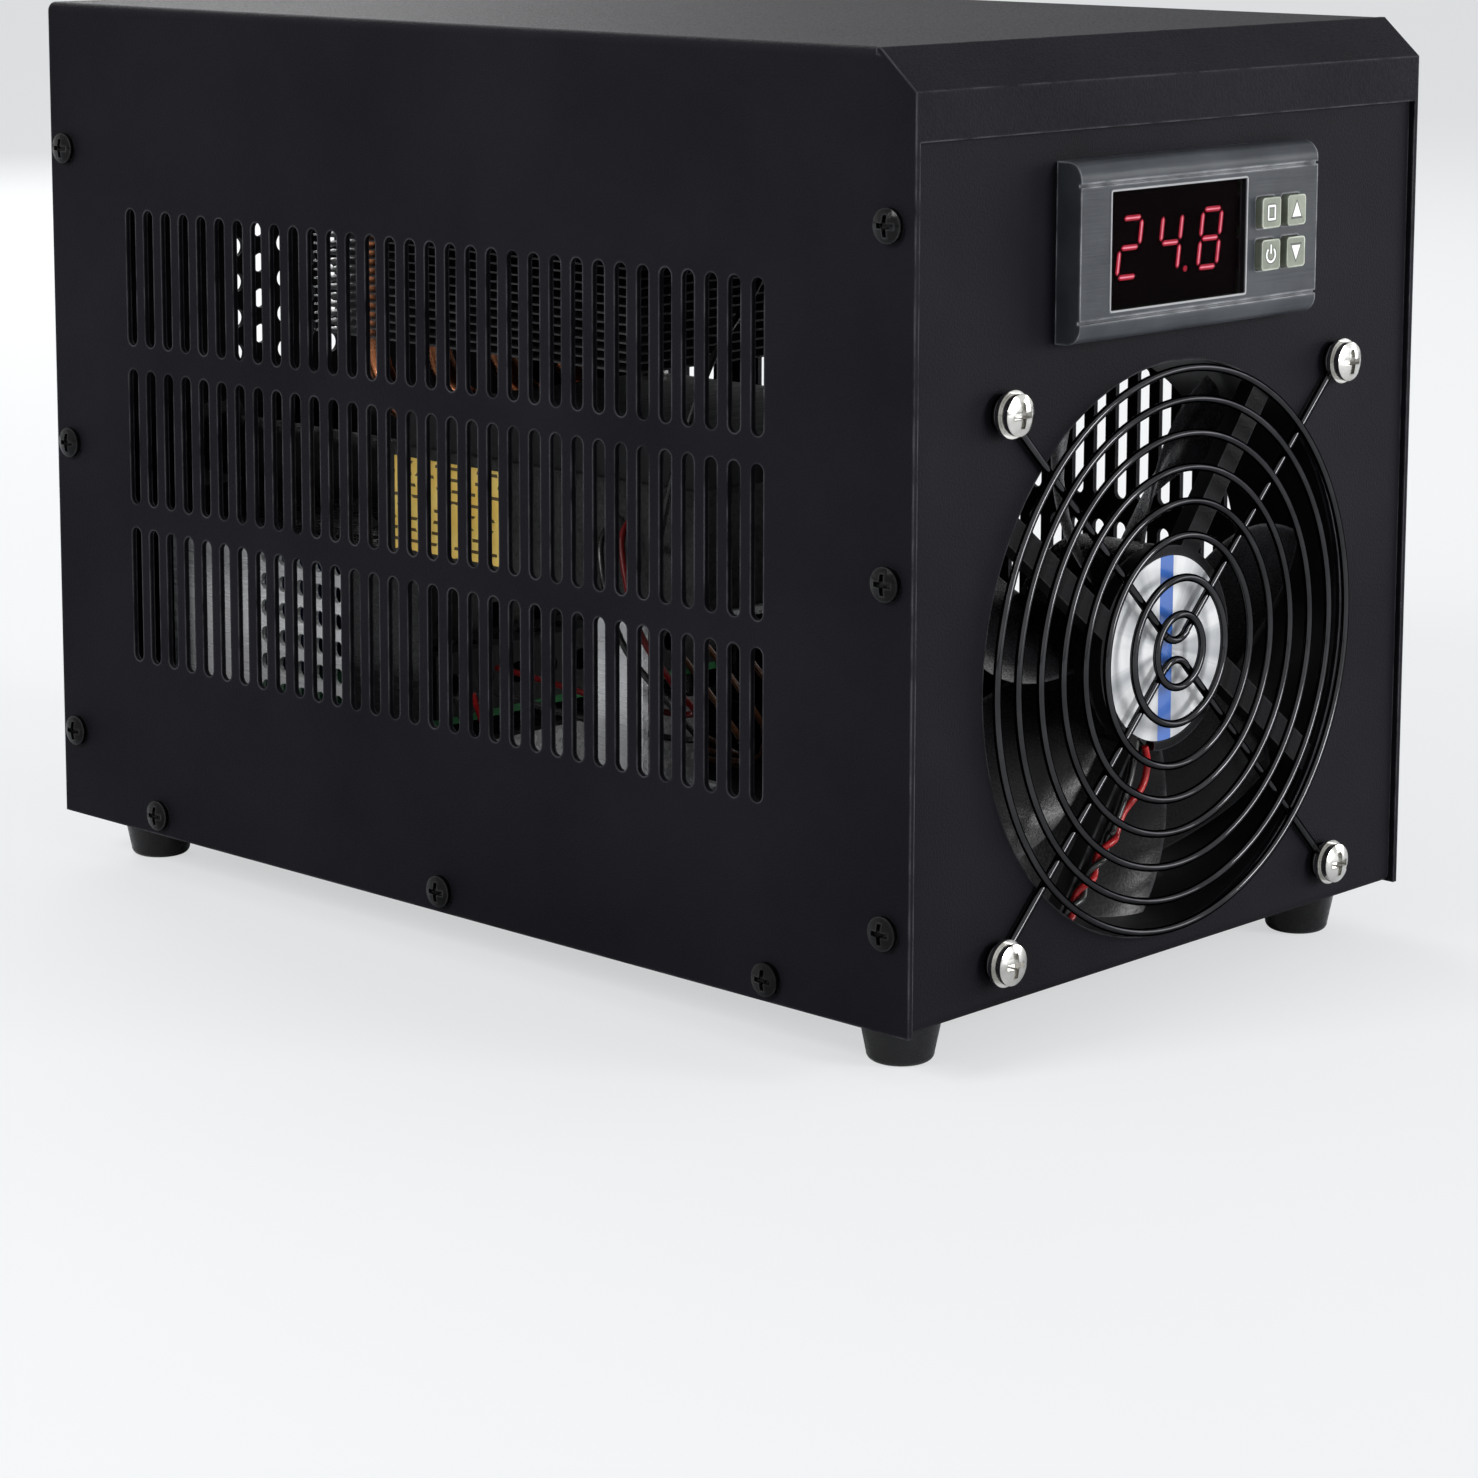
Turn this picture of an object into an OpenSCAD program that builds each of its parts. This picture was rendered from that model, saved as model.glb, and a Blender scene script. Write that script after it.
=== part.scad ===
// Small thermoelectric aquarium chiller: a black steel case with slotted sides, a fan and
// a controller in front, and a power supply, a cold box and a finned heat sink inside.
// X runs across the case, Y runs from the front to the rear and Z is up.

/* [Case] */
// Width across the side panels
case_w = 158; // [156:1:180]
// Depth from the front lip to the rear edge
case_d = 254; // [252:1:290]
// Height of the case without its feet
case_h = 183; // [182:1:210]
// Thickness of the sheet steel
sheet_t = 1.2; // [1:0.1:1.4]
// Slip between the cover and the chassis inside it
sheet_slip = 0.15; // [0.1:0.05:0.3]
// Outer radius of the bends
bend_r = 2; // [1.6:0.1:3]
// Height of the lip at the cover's front edge
lip_h = 9.2; // [6:0.2:11]
// Depth of the slope above the lip
slope_d = 8.8; // [6:0.2:11]
// Height of the slope above the lip
slope_h = 7.7; // [6:0.2:10]
// Width of the chassis flanges behind the cover
flange_w = 10; // [9:0.5:13]

/* [Side slots] */
// Width of a slot
slot_w = 3.2; // [2.4:0.1:3.6]
// Length of a slot
slot_len = 30; // [24:1:32]
// Distance between neighbouring slots
slot_pitch = 6.05; // [5.5:0.05:8]
// Number of rows of slots
slot_rows = 3; // [2:1:3]
// Distance between the rows
slot_row_pitch = 35.2; // [34:0.2:38]
// Height of the lowest row's lower ends
slot_low_z = 38.6; // [32:0.2:42]
// First slot's distance from the front edge
slot_front = 38.8; // [34:0.2:50]
// Least distance from the last slot to the rear edge
slot_rear = 27.5; // [24:0.5:40]

/* [Cover screws] */
// Radius of a cover screw's head
cover_screw_head_r = 3.3; // [2.8:0.1:3.6]
// Height of a cover screw's head
cover_screw_head_h = 2; // [1.6:0.1:2.4]
// Radius of a cover screw's shank
cover_screw_r = 1.5; // [1.2:0.1:1.6]
// Length of a cover screw's shank
cover_screw_len = 6; // [5:0.5:8]
// Clearance of a shank in its hole
screw_slip = 0.1; // [0.05:0.05:0.2]
// Distance of the front column from the front edge
cover_screw_front = 6; // [5:0.2:8]
// Distance of the rear column from the rear edge
cover_screw_rear = 5.2; // [4.8:0.2:8]
// Height of the lowest screw in each column
cover_screw_low = 19.4; // [16:0.2:24]
// Distance between the screws of a column
cover_screw_rise = 65.8; // [60:0.2:70]
// Height of the bottom row of screws
cover_screw_base = 4.6; // [4.4:0.1:6]
// Distance of the bottom row's first screw from the front edge
cover_screw_y = 35.6; // [30:0.2:40]
// Distance between the screws of the bottom row
cover_screw_step = 92.2; // [80:0.2:95]

/* [Feet] */
// Height of a rubber foot
foot_h = 10; // [8:0.5:14]
// Radius of a foot at its top
foot_top_r = 8.3; // [7:0.1:10]
// Radius of a foot at its bottom
foot_low_r = 6.6; // [6:0.1:6.9]
// Rounding of a foot's lower edge
foot_round = 1.6; // [1:0.1:2]
// Distance of a foot's centre from the case's edges
foot_inset = 15; // [14:0.5:15.2]
// Radius of the foot screws
foot_screw_r = 1.5; // [1.2:0.1:1.6]
// Radius of the screw's seat in the foot
foot_seat_r = 3.4; // [3.2:0.1:3.8]
// Height of the rubber left above that seat
foot_web = 4; // [3:0.5:6]

/* [Fan] */
// Width and height of the fan's frame
fan_w = 120; // [118:0.5:121]
// Depth of the fan
fan_d = 25; // [24:0.5:28]
// Distance between the fan's screw holes
fan_pitch = 105; // [104:0.5:106]
// Radius of the fan's duct
duct_r = 57.3; // [56.5:0.1:57.8]
// Wall of the duct
duct_wall = 1.9; // [1.4:0.1:2.1]
// Thickness of the frame's two flanges
fan_flange_t = 4; // [3:0.5:5]
// Gap between the frame and the floor of the chassis
fan_lift = 0.8; // [0.5:0.1:2]
// Radius of the motor plate
motor_plate_r = 20.5; // [20:0.1:21.5]
// Thickness of the motor plate
motor_plate_t = 3; // [2.6:0.1:3.4]
// Radius of the label on the motor plate
fan_label_r = 18.5; // [16:0.5:19]
// Thickness of the labels
label_t = 0.2; // [0.1:0.05:0.3]
// Width of the struts that carry the motor
strut_w = 5.6; // [5:0.1:6.5]
// Depth of the struts
strut_t = 3.6; // [3:0.1:4]
// Angle of the strut that carries the leads
strut_angle = 238; // [232:1:242]
// Sweep of the struts between the hub and the duct
strut_sweep = 12; // [8:1:14]
// Width of the channel for the leads, up to the strut's open side
lead_groove_w = 4.2; // [4:0.1:4.4]
// Depth of the channel for the leads
lead_groove_d = 2; // [1.8:0.1:2.2]
// Radius of the rotor's hub
hub_r = 20; // [19:0.1:20.5]
// Wall of the rotor's hub
hub_wall = 1.6; // [1.4:0.1:1.8]
// Number of blades
blade_count = 7; // [5:1:7]
// Gap between the blade tips and the duct
tip_gap = 1.6; // [1:0.1:3]
// Greatest thickness of a blade
blade_t = 1.8; // [1.4:0.1:2.2]
// Angle that one blade covers round the hub
blade_wrap = 40; // [34:1:42]
// Sweep of a blade from root to tip
blade_sweep = 16; // [0:1:20]
// Gap between the rotor and the fixed motor plate
rotor_gap = 0.8; // [0.5:0.1:1.2]
// Radius of the rotor's shaft
shaft_r = 1.5; // [1.2:0.1:1.6]
// Running clearance of the shaft in its bearings
shaft_slip = 0.03; // [0.02:0.01:0.08]
// Outer radius of a bearing
bearing_r = 3.5; // [3.3:0.1:3.7]
// Width of a bearing
bearing_w = 3; // [2.5:0.5:3.5]
// Wall of the tube that holds the bearings
bearing_tube_wall = 1.1; // [0.9:0.1:1.2]

/* [Fan guard] */
// Radius of the guard's wire
wire_r = 0.8; // [0.6:0.05:1]
// Radius of the outer ring
guard_r = 56; // [54:0.5:57]
// Radius of the bend where the two legs of a wire meet
guard_bend_r = 4.8; // [4:0.1:6]
// Radius of the guard screws
guard_screw_r = 2; // [1.8:0.1:2.1]
// Radius of a guard screw's head
guard_head_r = 4; // [3.8:0.1:4.4]
// Height of a guard screw's head
guard_head_h = 2.6; // [2:0.1:3]
// Radius of a washer
washer_r = 4.6; // [4.4:0.1:5]
// Thickness of a washer
washer_t = 0.8; // [0.6:0.1:1]
// Radius of the nuts across their corners
guard_nut_r = 4; // [3.8:0.1:4.2]
// Thickness of the nuts
guard_nut_t = 3; // [2.6:0.1:3.4]

/* [Controller] */
// Width of the controller's bezel
bezel_w = 75; // [74:0.5:78]
// Height of the bezel
bezel_h = 34.5; // [34:0.5:36]
// Distance of the bezel's face in front of the lip
bezel_proud = 4.7; // [4:0.1:6]
// Thickness of the bezel's face
bezel_t = 1.6; // [1.4:0.1:1.8]
// Wall round the bezel
bezel_wall = 2.6; // [2.2:0.1:2.8]
// Rounding along the bezel's top and bottom
bezel_round = 3.4; // [2.5:0.1:3.8]
// Gap between the fan's frame and the bezel
bezel_gap = 3.95; // [3.5:0.05:5]
// Height of the two grooves above and below the middle
groove_z = 12.9; // [12.6:0.1:13.2]
// Width of a groove
groove_w = 0.6; // [0.4:0.1:0.8]
// Depth of a groove
groove_d = 0.6; // [0.4:0.1:0.8]
// Width of the display's window
window_w = 42.3; // [40:0.1:43]
// Height of the window
window_h = 22.6; // [21:0.1:23.5]
// Distance from the bezel's middle to the middle of the window
window_x = -7.2; // [-8:0.1:-6.5]
// Thickness of the window
window_t = 1.4; // [1:0.1:1.5]
// Width of the controller's body
ctrl_w = 71; // [70:0.5:71.5]
// Height of the controller's body
ctrl_h = 29; // [28.5:0.5:30]
// Depth of the controller's body behind the panel
ctrl_d = 68; // [60:1:70]
// Wall of the controller's body
ctrl_wall = 1.5; // [1.2:0.1:1.8]
// Height of a digit
digit_h = 12.2; // [11:0.2:13]
// Width of a digit
digit_w = 7; // [6:0.2:7.6]
// Distance between digits
digit_pitch = 12.6; // [12:0.1:12.9]
// Width of a digit's segments
segment_w = 1; // [0.8:0.1:1.4]
// Width and height of a button
button_w = 6; // [5.4:0.1:6.4]
// Distance between the buttons
button_pitch = 8.3; // [8.1:0.1:9]
// Distance from the bezel's middle to the middle of the buttons
button_x = 24.3; // [24:0.1:25]
// Distance of a button's face in front of the bezel
button_proud = 1.6; // [1.2:0.1:2]
// Travel of a button
button_travel = 0.8; // [0.6:0.1:0.8]
// Gap between a button and the bezel
button_slip = 0.15; // [0.1:0.05:0.2]

/* [Power supply] */
// Distance from the power supply to the case's right side
psu_right = 43; // [41:0.5:45]
// Length of the power supply
psu_len = 82; // [80:1:84]
// Height of the power supply
psu_h = 40; // [38:0.5:42]
// Sheet of the power supply's case
psu_t = 1; // [0.8:0.1:1.2]
// Distance from the case's left side to the power supply
psu_side = 17; // [15:0.5:18]
// Front edge of the power supply
psu_y = 153; // [151:0.5:156]
// Height of the rails under the power supply
rail_h = 24.8; // [20:0.2:26]

/* [Cooler] */
// Width of the cold box
box_w = 80; // [78:1:82]
// Length of the cold box
box_len = 93; // [92:1:95]
// Height of the cold box
box_h = 24.5; // [24:0.5:28]
// Distance from the case's left side to the cold box
box_side = 19; // [18:0.5:20]
// Front edge of the cold box
box_y = 72; // [71:0.5:74]
// Thickness of the foam walls
foam_t = 8; // [7:0.5:8.5]
// Thickness of the foam under the water block
foam_floor_t = 6; // [5:0.5:6.5]
// Thickness of the plate of the bracket
bracket_t = 1.5; // [1.2:0.1:2]
// Width of a thermoelectric module
module_w = 36; // [34:0.5:40]
// Thickness of a thermoelectric module
module_t = 3.7; // [3.2:0.1:4]
// Thickness of the heat sink's base
sink_base_t = 8; // [7.6:0.2:10]
// Radius of a heat pipe
pipe_r = 3; // [2.6:0.1:3.2]
// Number of heat pipes
pipe_count = 4; // [2:1:4]
// Distance of the outer heat pipes from the sides of the base
pipe_edge = 11.5; // [10.5:0.5:14]
// Radius of a heat pipe's bend
pipe_bend_r = 16; // [14:0.5:18]
// Width of the fins
fin_w = 92; // [86:1:96]
// Length of the fins
fin_len = 100; // [96:1:104]
// Thickness of a fin
fin_t = 0.4; // [0.3:0.05:0.5]
// Distance between the fins
fin_pitch = 1.9; // [1.7:0.05:2.4]
// Number of fins
fin_count = 24; // [20:1:28]

/* [Water] */
// Outer radius of a hose tail
tail_r = 6; // [5:0.1:6.5]
// Radius of a hose tail's bore
tail_bore_r = 4; // [3:0.1:4.4]
// Length of the smooth land of a hose tail
tail_land = 12; // [10:0.5:14]
// Number of ridges on a hose tail
ridge_count = 3; // [2:1:4]
// Length of a ridge
ridge_len = 4.4; // [3.5:0.1:5]
// Radius of the hexagon that the tail screws up to, across its corners
hex_r = 11; // [10:0.2:12]
// Thickness of that hexagon and of its nut
hex_t = 5; // [4:0.5:6]
// Radius of the fittings inside the hoses
fitting_r = 5; // [4.6:0.1:5.4]
// Wall of the hoses
hose_wall = 2; // [1.6:0.1:2.2]
// Distance between the two hoses
hose_pitch = 36; // [34:1:40]

/* [Mains inlet] */
// Width of the inlet's flange
inlet_w = 31; // [30:0.5:32]
// Height of the inlet's flange
inlet_h = 56; // [55:0.5:58]
// Thickness of the inlet's flange
inlet_t = 2.5; // [2:0.1:3]
// Depth of the inlet's body
inlet_d = 24; // [23:0.5:28]
// Width of the socket
socket_w = 24.4; // [24:0.1:25]
// Height of the socket
socket_h = 16.4; // [16:0.1:17]
// Depth of the socket
socket_d = 17; // [16:0.5:18]
// Distance from the case's right side to the inlet's middle
inlet_side = 23; // [22:0.5:24]
// Height of the inlet's middle
inlet_z = 40; // [38:0.5:60]

/* [Hidden] */

// Resolution of the round faces
$fn = 48;
// Overrun of every cut
over = 1;

// Case faces
half_w = case_w / 2;
panel_y = sheet_t;
panel_back = panel_y + sheet_t;
rear_face = case_d - sheet_t;
rear_back = rear_face - sheet_t;
inner_x = half_w - sheet_t - sheet_slip;
slope_z = case_h - slope_h;
lip_z = slope_z - lip_h;
// Front panel's top behind the lip
panel_tuck = 3;
panel_top = slope_z - panel_tuck;
rear_top = case_h - sheet_t - sheet_slip;
slot_count = floor((case_d - slot_front - slot_rear) / slot_pitch) + 1;
cover_screw_places = concat(
  [for (i = [0:2]) [cover_screw_front, cover_screw_low + i * cover_screw_rise]],
  [for (i = [0:2]) [case_d - cover_screw_rear, cover_screw_low + i * cover_screw_rise]],
  [for (i = [0:2]) [cover_screw_y + i * cover_screw_step, cover_screw_base]]);
// Cross recess of the screws, as shares of the head
cross_length_share = 0.62;
cross_width_share = 0.15;
cross_depth_share = 0.6;
dome_share = 0.45;

// Feet
foot_places = [for (x = [-1, 1]) for (y = [0, 1])
  [x * (half_w - foot_inset), y ? case_d - foot_inset : foot_inset]];
foot_head_h = 2;
foot_nut_r = 3.1;
foot_nut_t = 2.4;
foot_head_slip = 0.3;

// Fan
fan_z = sheet_t + fan_lift + fan_w / 2;
fan_y = panel_back;
fan_corner_r = 5;
fan_boss_r = 4.6;
fan_hole_slip = 0.2;
fan_screw_r = guard_screw_r + fan_hole_slip;
plate_back = fan_y + motor_plate_t;
rotor_y = plate_back + rotor_gap;
rotor_end_gap = 1.2;
rotor_len = fan_y + fan_d - rotor_end_gap - rotor_y;
hub_end_t = 2;
hub_boss_r = 3.6;
hub_boss_len = 2;
press_slip = 0.02;
tube_r = bearing_r + bearing_tube_wall;
tube_len = rotor_len - hub_end_t - hub_boss_len - rotor_gap;
bearing_gap = 1;
stator_r = 15.2;
stator_t = 7;
stator_lift = 3.2;
stator_y = rotor_y + stator_lift;
stator_yoke_r = 7.4;
pole_w = 4.4;
pole_shoe_t = 2;
pole_shoe_angle = 33;
coil_t = 1.8;
coil_inset = 0.8;
air_gap = 0.9;
magnet_len = 11;
board_t = 1.6;
fan_board_t = 0.8;
fan_board_r = 14;
strut_root = 1.2;
strut_in_r = motor_plate_r - strut_root;
strut_out_r = 64;
strut_from = [for (s = [0:3]) strut_in_r * [cos(strut_angle + strut_sweep + s * 90),
  sin(strut_angle + strut_sweep + s * 90)]];
strut_to = [for (s = [0:3]) (s == 0 ? strut_out_r : duct_r + duct_wall / 2)
  * [cos(strut_angle + s * 90), sin(strut_angle + s * 90)]];
lead_hole_r = 2.7;
lead_notch_r = 1.6;
// Blade outline
blade_rows = 6;
blade_steps = 8;
blade_root_r = hub_r - hub_wall / 2;
blade_tip_r = duct_r - tip_gap;
blade_front = 1.4;
blade_rear = 1.8;
blade_y = rotor_y + blade_front;
blade_depth = rotor_len - blade_front - blade_rear;
blade_camber = 2.2;
blade_edge_share = 0.35;
blade_tip_wrap_share = 0.92;

// Guard rings, as shares of the outer ring
guard_ring_shares = [0.13, 0.26, 0.41, 0.53, 0.65, 0.77, 0.89, 1];
eye_y = panel_y - wire_r;
eye_sink = 0.3;
leg_y = eye_y - eye_sink;
ring_sink_share = 0.25;
ring_y = leg_y - 2 * wire_r * (1 - ring_sink_share);
eye_slip = 0.3;
eye_r = guard_screw_r + wire_r + eye_slip;
leg_reach = fan_pitch / sqrt(2);
washer_y = leg_y - wire_r;
screw_tail = 3;

// Controller
ctrl_z = fan_z + fan_w / 2 + bezel_gap + bezel_h / 2;
face_y = -bezel_proud;
face_back = face_y + bezel_t;
cutout_slip = 0.25;
window_slip = 0.1;
window_sink = 0.4;
window_back = face_y + window_sink + window_t;
digit_gap = 0.6;
digit_t = 0.15;
digit_slant = 8;
display_y = window_back + digit_gap;
display_d = 5.2;
front_board_y = display_y + display_d;
front_board_w = 66;
front_board_h = 25;
segment_gap = 0.3;
dot_r = 0.7;
// Segments in the order top, upper right, lower right, bottom, lower left, upper left, middle
digit_segments = [[1, 1, 0, 1, 1, 0, 1], [0, 1, 1, 0, 0, 1, 1], [1, 1, 1, 1, 1, 1, 1]];
button_flange = 0.7;
button_flange_t = 1;
button_round = 0.8;
button_places = [for (z = [1, -1]) for (x = [-1, 1])
  [button_x + x * button_pitch / 2, ctrl_z + z * button_pitch / 2]];
switch_w = 6;
switch_cap_r = 1.7;
switch_cap_h = 0.8;
switch_gap = 0.1;
switch_top_y = face_back + button_flange_t + button_travel + switch_gap;
main_board_drop = 8;
main_board_slip = 0.4;
clip_t = 3;
clip_h = 16;
clip_len = 20;
clip_tongue = 2;
terminal_w = 56;
terminal_h = 10;
terminal_d = 10;
terminal_ways = 8;
terminal_slip = 0.2;
terminal_sink = 3;
mouth_share = 0.25;
mouth_depth_share = 0.33;
clamp_hole_share = 0.33;

// Power supply
psu_x = -half_w + psu_side;
psu_w = case_w - psu_side - psu_right;
psu_z = sheet_t + rail_h;
rail_w = 18;
rail_foot = 7;
rail_ys_share = [0.12, 0.56];
psu_slot_w = 3;
psu_slot_len = 3.6;
psu_slot_pitch = 6;
psu_slot_front = 26;
psu_slot_rear = 31;
psu_slot_count = floor((psu_len - psu_slot_front - psu_slot_rear) / psu_slot_pitch) + 1;
psu_slot_zs_share = [0.14, 0.29, 0.44, 0.59, 0.74, 0.89];
psu_hole_r = 2.2;
psu_hole_pitch = 9;
psu_hole_edge = 12;
psu_board_lift = 4;
psu_board_inset = 3;
psu_post_r = 2.5;
psu_post_inset = 9;
psu_board_z = psu_z + psu_t + psu_board_lift;
psu_parts_z = psu_board_z + board_t;
psu_terminal_len = 14;
psu_terminal_h = 14;
psu_terminal_inset = 6;
psu_terminal_pitch = 9.5;
psu_terminal_ways = floor((psu_w - 2 * psu_terminal_inset) / psu_terminal_pitch);
core_w = 34;
core_h = 24;
core_leg = 6;
core_gap = 6.5;
can_r = 9;
can_h = 27;
can_inset = 6;
core_len = psu_len - psu_t - psu_terminal_len - can_inset - 2 * (can_r + core_gap);
can_xs_share = [0.25, 0.475, 0.7];
can_groove = 0.6;
can_groove_drop = 1.8;

// Cooler
bracket_z = psu_z + psu_h;
bracket_margin = 2;
bracket_leg_w = 14;
bracket_leg_inset = 16;
bracket_foot = 10;
box_x = -half_w + box_side;
box_z = bracket_z + bracket_t;
sink_z = box_z + box_h;
box_mid_x = box_x + box_w / 2;
block_z = box_z + foam_floor_t;
block_h = sink_z - module_t - block_z;
foam_slip = 0.2;
block_slip = 0.3;
block_len = box_len - 2 * (foam_t + block_slip);
module_gap = 2;
module_edge = 1.2;
module_len = (block_len - module_gap) / 2 - module_edge;
cross_bore_r = 3.5;
port_z = block_z + block_h / 2;
port_reach = 14;
label_w = 36;
label_h = 20;
label_rear = 3;
sink_margin = 3;
sink_base_w = box_w - sink_margin;
sink_base_y = box_y + sink_margin;
sink_base_len = box_len - 2 * sink_margin;
pipe_z = sink_z + sink_base_t / 2;
pipe_slip = 0.05;
pipe_start = 6;
pipe_pitch = (sink_base_w - 2 * pipe_edge) / (pipe_count - 1);
fin_shift_x = 8;
fin_shift_y = 25;
fin_lift = 0.5;
fin_x = box_x + fin_shift_x;
fin_y = box_y + fin_shift_y;
fin_z = pipe_z + pipe_bend_r + fin_lift;
fin_top = fin_z + (fin_count - 1) * fin_pitch + fin_t;
pipe_margin = 14;
pipe_turn_y = fin_y + fin_len - pipe_margin;
pipe_top_extra = 3;
pipe_x = box_mid_x - (pipe_count - 1) * pipe_pitch / 2;
clamp_inset = 4;
clamp_screw_r = 1.5;
clamp_head_r = 2.9;
clamp_head_h = 2;

// Water
port_xs = [box_mid_x - hose_pitch / 2, box_mid_x + hose_pitch / 2];
port_end = box_y + box_len + port_reach;
tail_inner_len = 18;
tail_thread_r = 7.4;
tail_hole_slip = 0.3;
tail_inner_y = rear_back - tail_inner_len;
tail_end = rear_face + hex_t + tail_land + ridge_count * ridge_len;
ridge_neck = 0.7;
nut_slip = 0.05;
hose_slip = 0.05;
hose_gap = 1.5;
hose_start = box_y + box_len + hose_gap;
hose_end = rear_back - hex_t - hose_gap;
hose_r = fitting_r + hose_slip + hose_wall;

// Rear holes
vent_r = 2.2;
vent_pitch = 8.3;
vent_cols = 9;
vent_rows = 9;
vent_low_z = 100.1;
vent_col_pitch = vent_pitch * sqrt(3) / 2;

// Mains inlet
inlet_x = half_w - inlet_side;
inlet_body_w = 27;
inlet_body_h = 48;
inlet_slip = 0.3;
socket_drop = 14.5;
socket_cut = 5;
drawer_rise = 0.8;
drawer_w = 22;
drawer_h = 7;
drawer_d = 18;
drawer_lip = 0.8;
drawer_grip_w = 11;
drawer_slip = 0.2;
drawer_wall = 1.2;
drawer_face_t = 2.4;
rocker_rise = 14.5;
rocker_w = 19;
rocker_h = 12.6;
rocker_slip = 0.9;
rocker_side_slip = 0.3;
rocker_d = 7;
rocker_pivot_r = 1.2;
rocker_pivot_len = 1.1;
rocker_pivot_slip = 0.05;
rocker_pivot_depth = 2.2;
rocker_dish = 1.2;
rocker_front = 2.6;
rocker_tilt = 8;
rocker_back_share = 0.25;
rocker_keel_share = 0.5;
pin_w = 4;
pin_t = 2;
pin_len = 14;
pin_step = 7;
pin_offset = 4;
pin_tab = 7;
inlet_back = rear_face - inlet_d;

// Shift from the case's own corner to the middle of the part's footprint
front_most = face_y - button_proud;
rear_most = tail_end;
middle_y = (front_most + rear_most) / 2;

// Leads: radius, and the points of their routes
lead_r = 0.7;
lead_sides = 8;
lead_steps = 3;
steep_share = 0.9;
fan_red_route = [[-4.6, 3.5, 42.8], [-3.9, 3.4, 39], [-5.6, 3.4, 34.6], [-11.2, 3.4, 30.6], [-15.2, 3.4, 26.6],
  [-21.2, 3.4, 21.4], [-26.6, 3.4, 16.3], [-32.6, 4.3, 8.6], [-33.2, 9, 7.8], [-33.2, 26, 7.8],
  [-35, 40, 6], [-38, 58, 5], [-41, 74, 6], [-43, 100, 7.5], [-46, 124, 14], [-50, 142, 28], [-52, 147, 39]];
fan_black_route = [[-7.4, 3.5, 44.5], [-18.4, 3.5, 30.1], [-29.4, 3.5, 15.6], [-34.3, 4.2, 9.2], [-34.6, 9, 8.7],
  [-34.8, 26, 8.8], [-36.6, 40, 7.6], [-40, 58, 7], [-43.2, 74, 8], [-45.5, 100, 10], [-49, 124, 17],
  [-55, 143, 30], [-57, 147, 39]];
left_side = [-half_w, 0, 0];
peltier_red_way = [[18, 90, 85], [13, 88, 80], [12, 82, 64], [19, 79, 52], [29, 84, 44], [33, 110, 42],
  [36, 140, 42.6], [37, 150, 42.6]];
peltier_red_route = [for (p = peltier_red_way) left_side + p];
peltier_black_way = [[18, 94, 85], [11, 92, 79], [9, 84, 62], [16, 76, 48], [25, 80, 40], [29, 110, 38],
  [31.5, 140, 38.6], [32, 150, 38.6]];
peltier_black_route = [for (p = peltier_black_way) left_side + p];
mains_straight = 8;
mains_turn = [8, 30, 12];
mains_way = [[-29, 22, 5], [-33, 4, 6], [-49, -14, 20], [-59, -6, 38.6]];
mains_spread = [[3, 0, 1], [3, 0, 0], [9, 0, 0], [9, 0, 0]];
mains_routes = [for (i = [-1:1])
  let (pin = [inlet_x + i * pin_step, inlet_back - pin_tab,
    inlet_z - socket_drop + (i == 0 ? pin_offset : -pin_offset) / 2])
  concat([pin - [0, lead_r / 2, 0], pin - [0, mains_straight, 0], pin - mains_turn],
    [for (k = [0:3]) [half_w, psu_y, 0] + mains_way[k] + i * mains_spread[k]])];
probe_way = [[18, 82, 80], [14, 78, 84], [15, 74, 100]];
probe_route = concat([for (p = probe_way) left_side + p], [[-52, 76, 118], [-36, 81, 128], [-28, 84, 134]]);

// Puts a piece on its feet, with the middle of the footprint at the origin
module placed() {
  translate([0, -middle_y, foot_h])
    children();
}

// Box between two opposite corners
module span(low, high) {
  translate(low)
    cube(high - low);
}

// Cylinders along Y and X that start at the local origin
module rod_y(r, h) {
  rotate([-90, 0, 0])
    cylinder(r = r, h = h);
}

module rod_x(r, h) {
  rotate([0, 90, 0])
    cylinder(r = r, h = h);
}

// Extrusion of a Y-Z outline along X, from a given x
module along_x(x, len) {
  translate([x, 0, 0])
    rotate([90, 0, 90])
      linear_extrude(len)
        children();
}

// Extrusion of an X-Z outline along Y, from a given y
module along_y(y, len) {
  translate([0, y + len, 0])
    rotate([90, 0, 0])
      linear_extrude(len)
        children();
}

// Rectangle with four round corners
module rounded_rect(low, high, r) {
  translate([low[0] + r, low[1]])
    square([high[0] - low[0] - 2 * r, high[1] - low[1]]);
  translate([low[0], low[1] + r])
    square([high[0] - low[0], high[1] - low[1] - 2 * r]);
  for (x = [low[0] + r, high[0] - r], y = [low[1] + r, high[1] - r])
    translate([x, y])
      circle(r);
}

// Long hole with round ends, upright, from its lower end
module slot_2d(w, len) {
  translate([-w / 2, w / 2])
    square([w, len - w]);
  for (z = [w / 2, len - w / 2])
    translate([0, z])
      circle(w / 2);
}

// Pan-head screw with a cross recess: its head lies on z = 0 and its shank runs down
module pan_screw(shank_r, shank_len, head_r, head_h) {
  difference() {
    union() {
      translate([0, 0, -shank_len])
        cylinder(r = shank_r, h = shank_len);
      intersection() {
        cylinder(r = head_r, h = head_h);
        translate([0, 0, head_h - head_r / dome_share])
          sphere(r = head_r / dome_share);
      }
    }
    for (turn = [0, 90])
      rotate([0, 0, turn])
        translate([-head_r * cross_length_share, -head_r * cross_width_share, head_h * (1 - cross_depth_share)])
          cube([2 * head_r * cross_length_share, 2 * head_r * cross_width_share, head_h]);
  }
}

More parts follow.
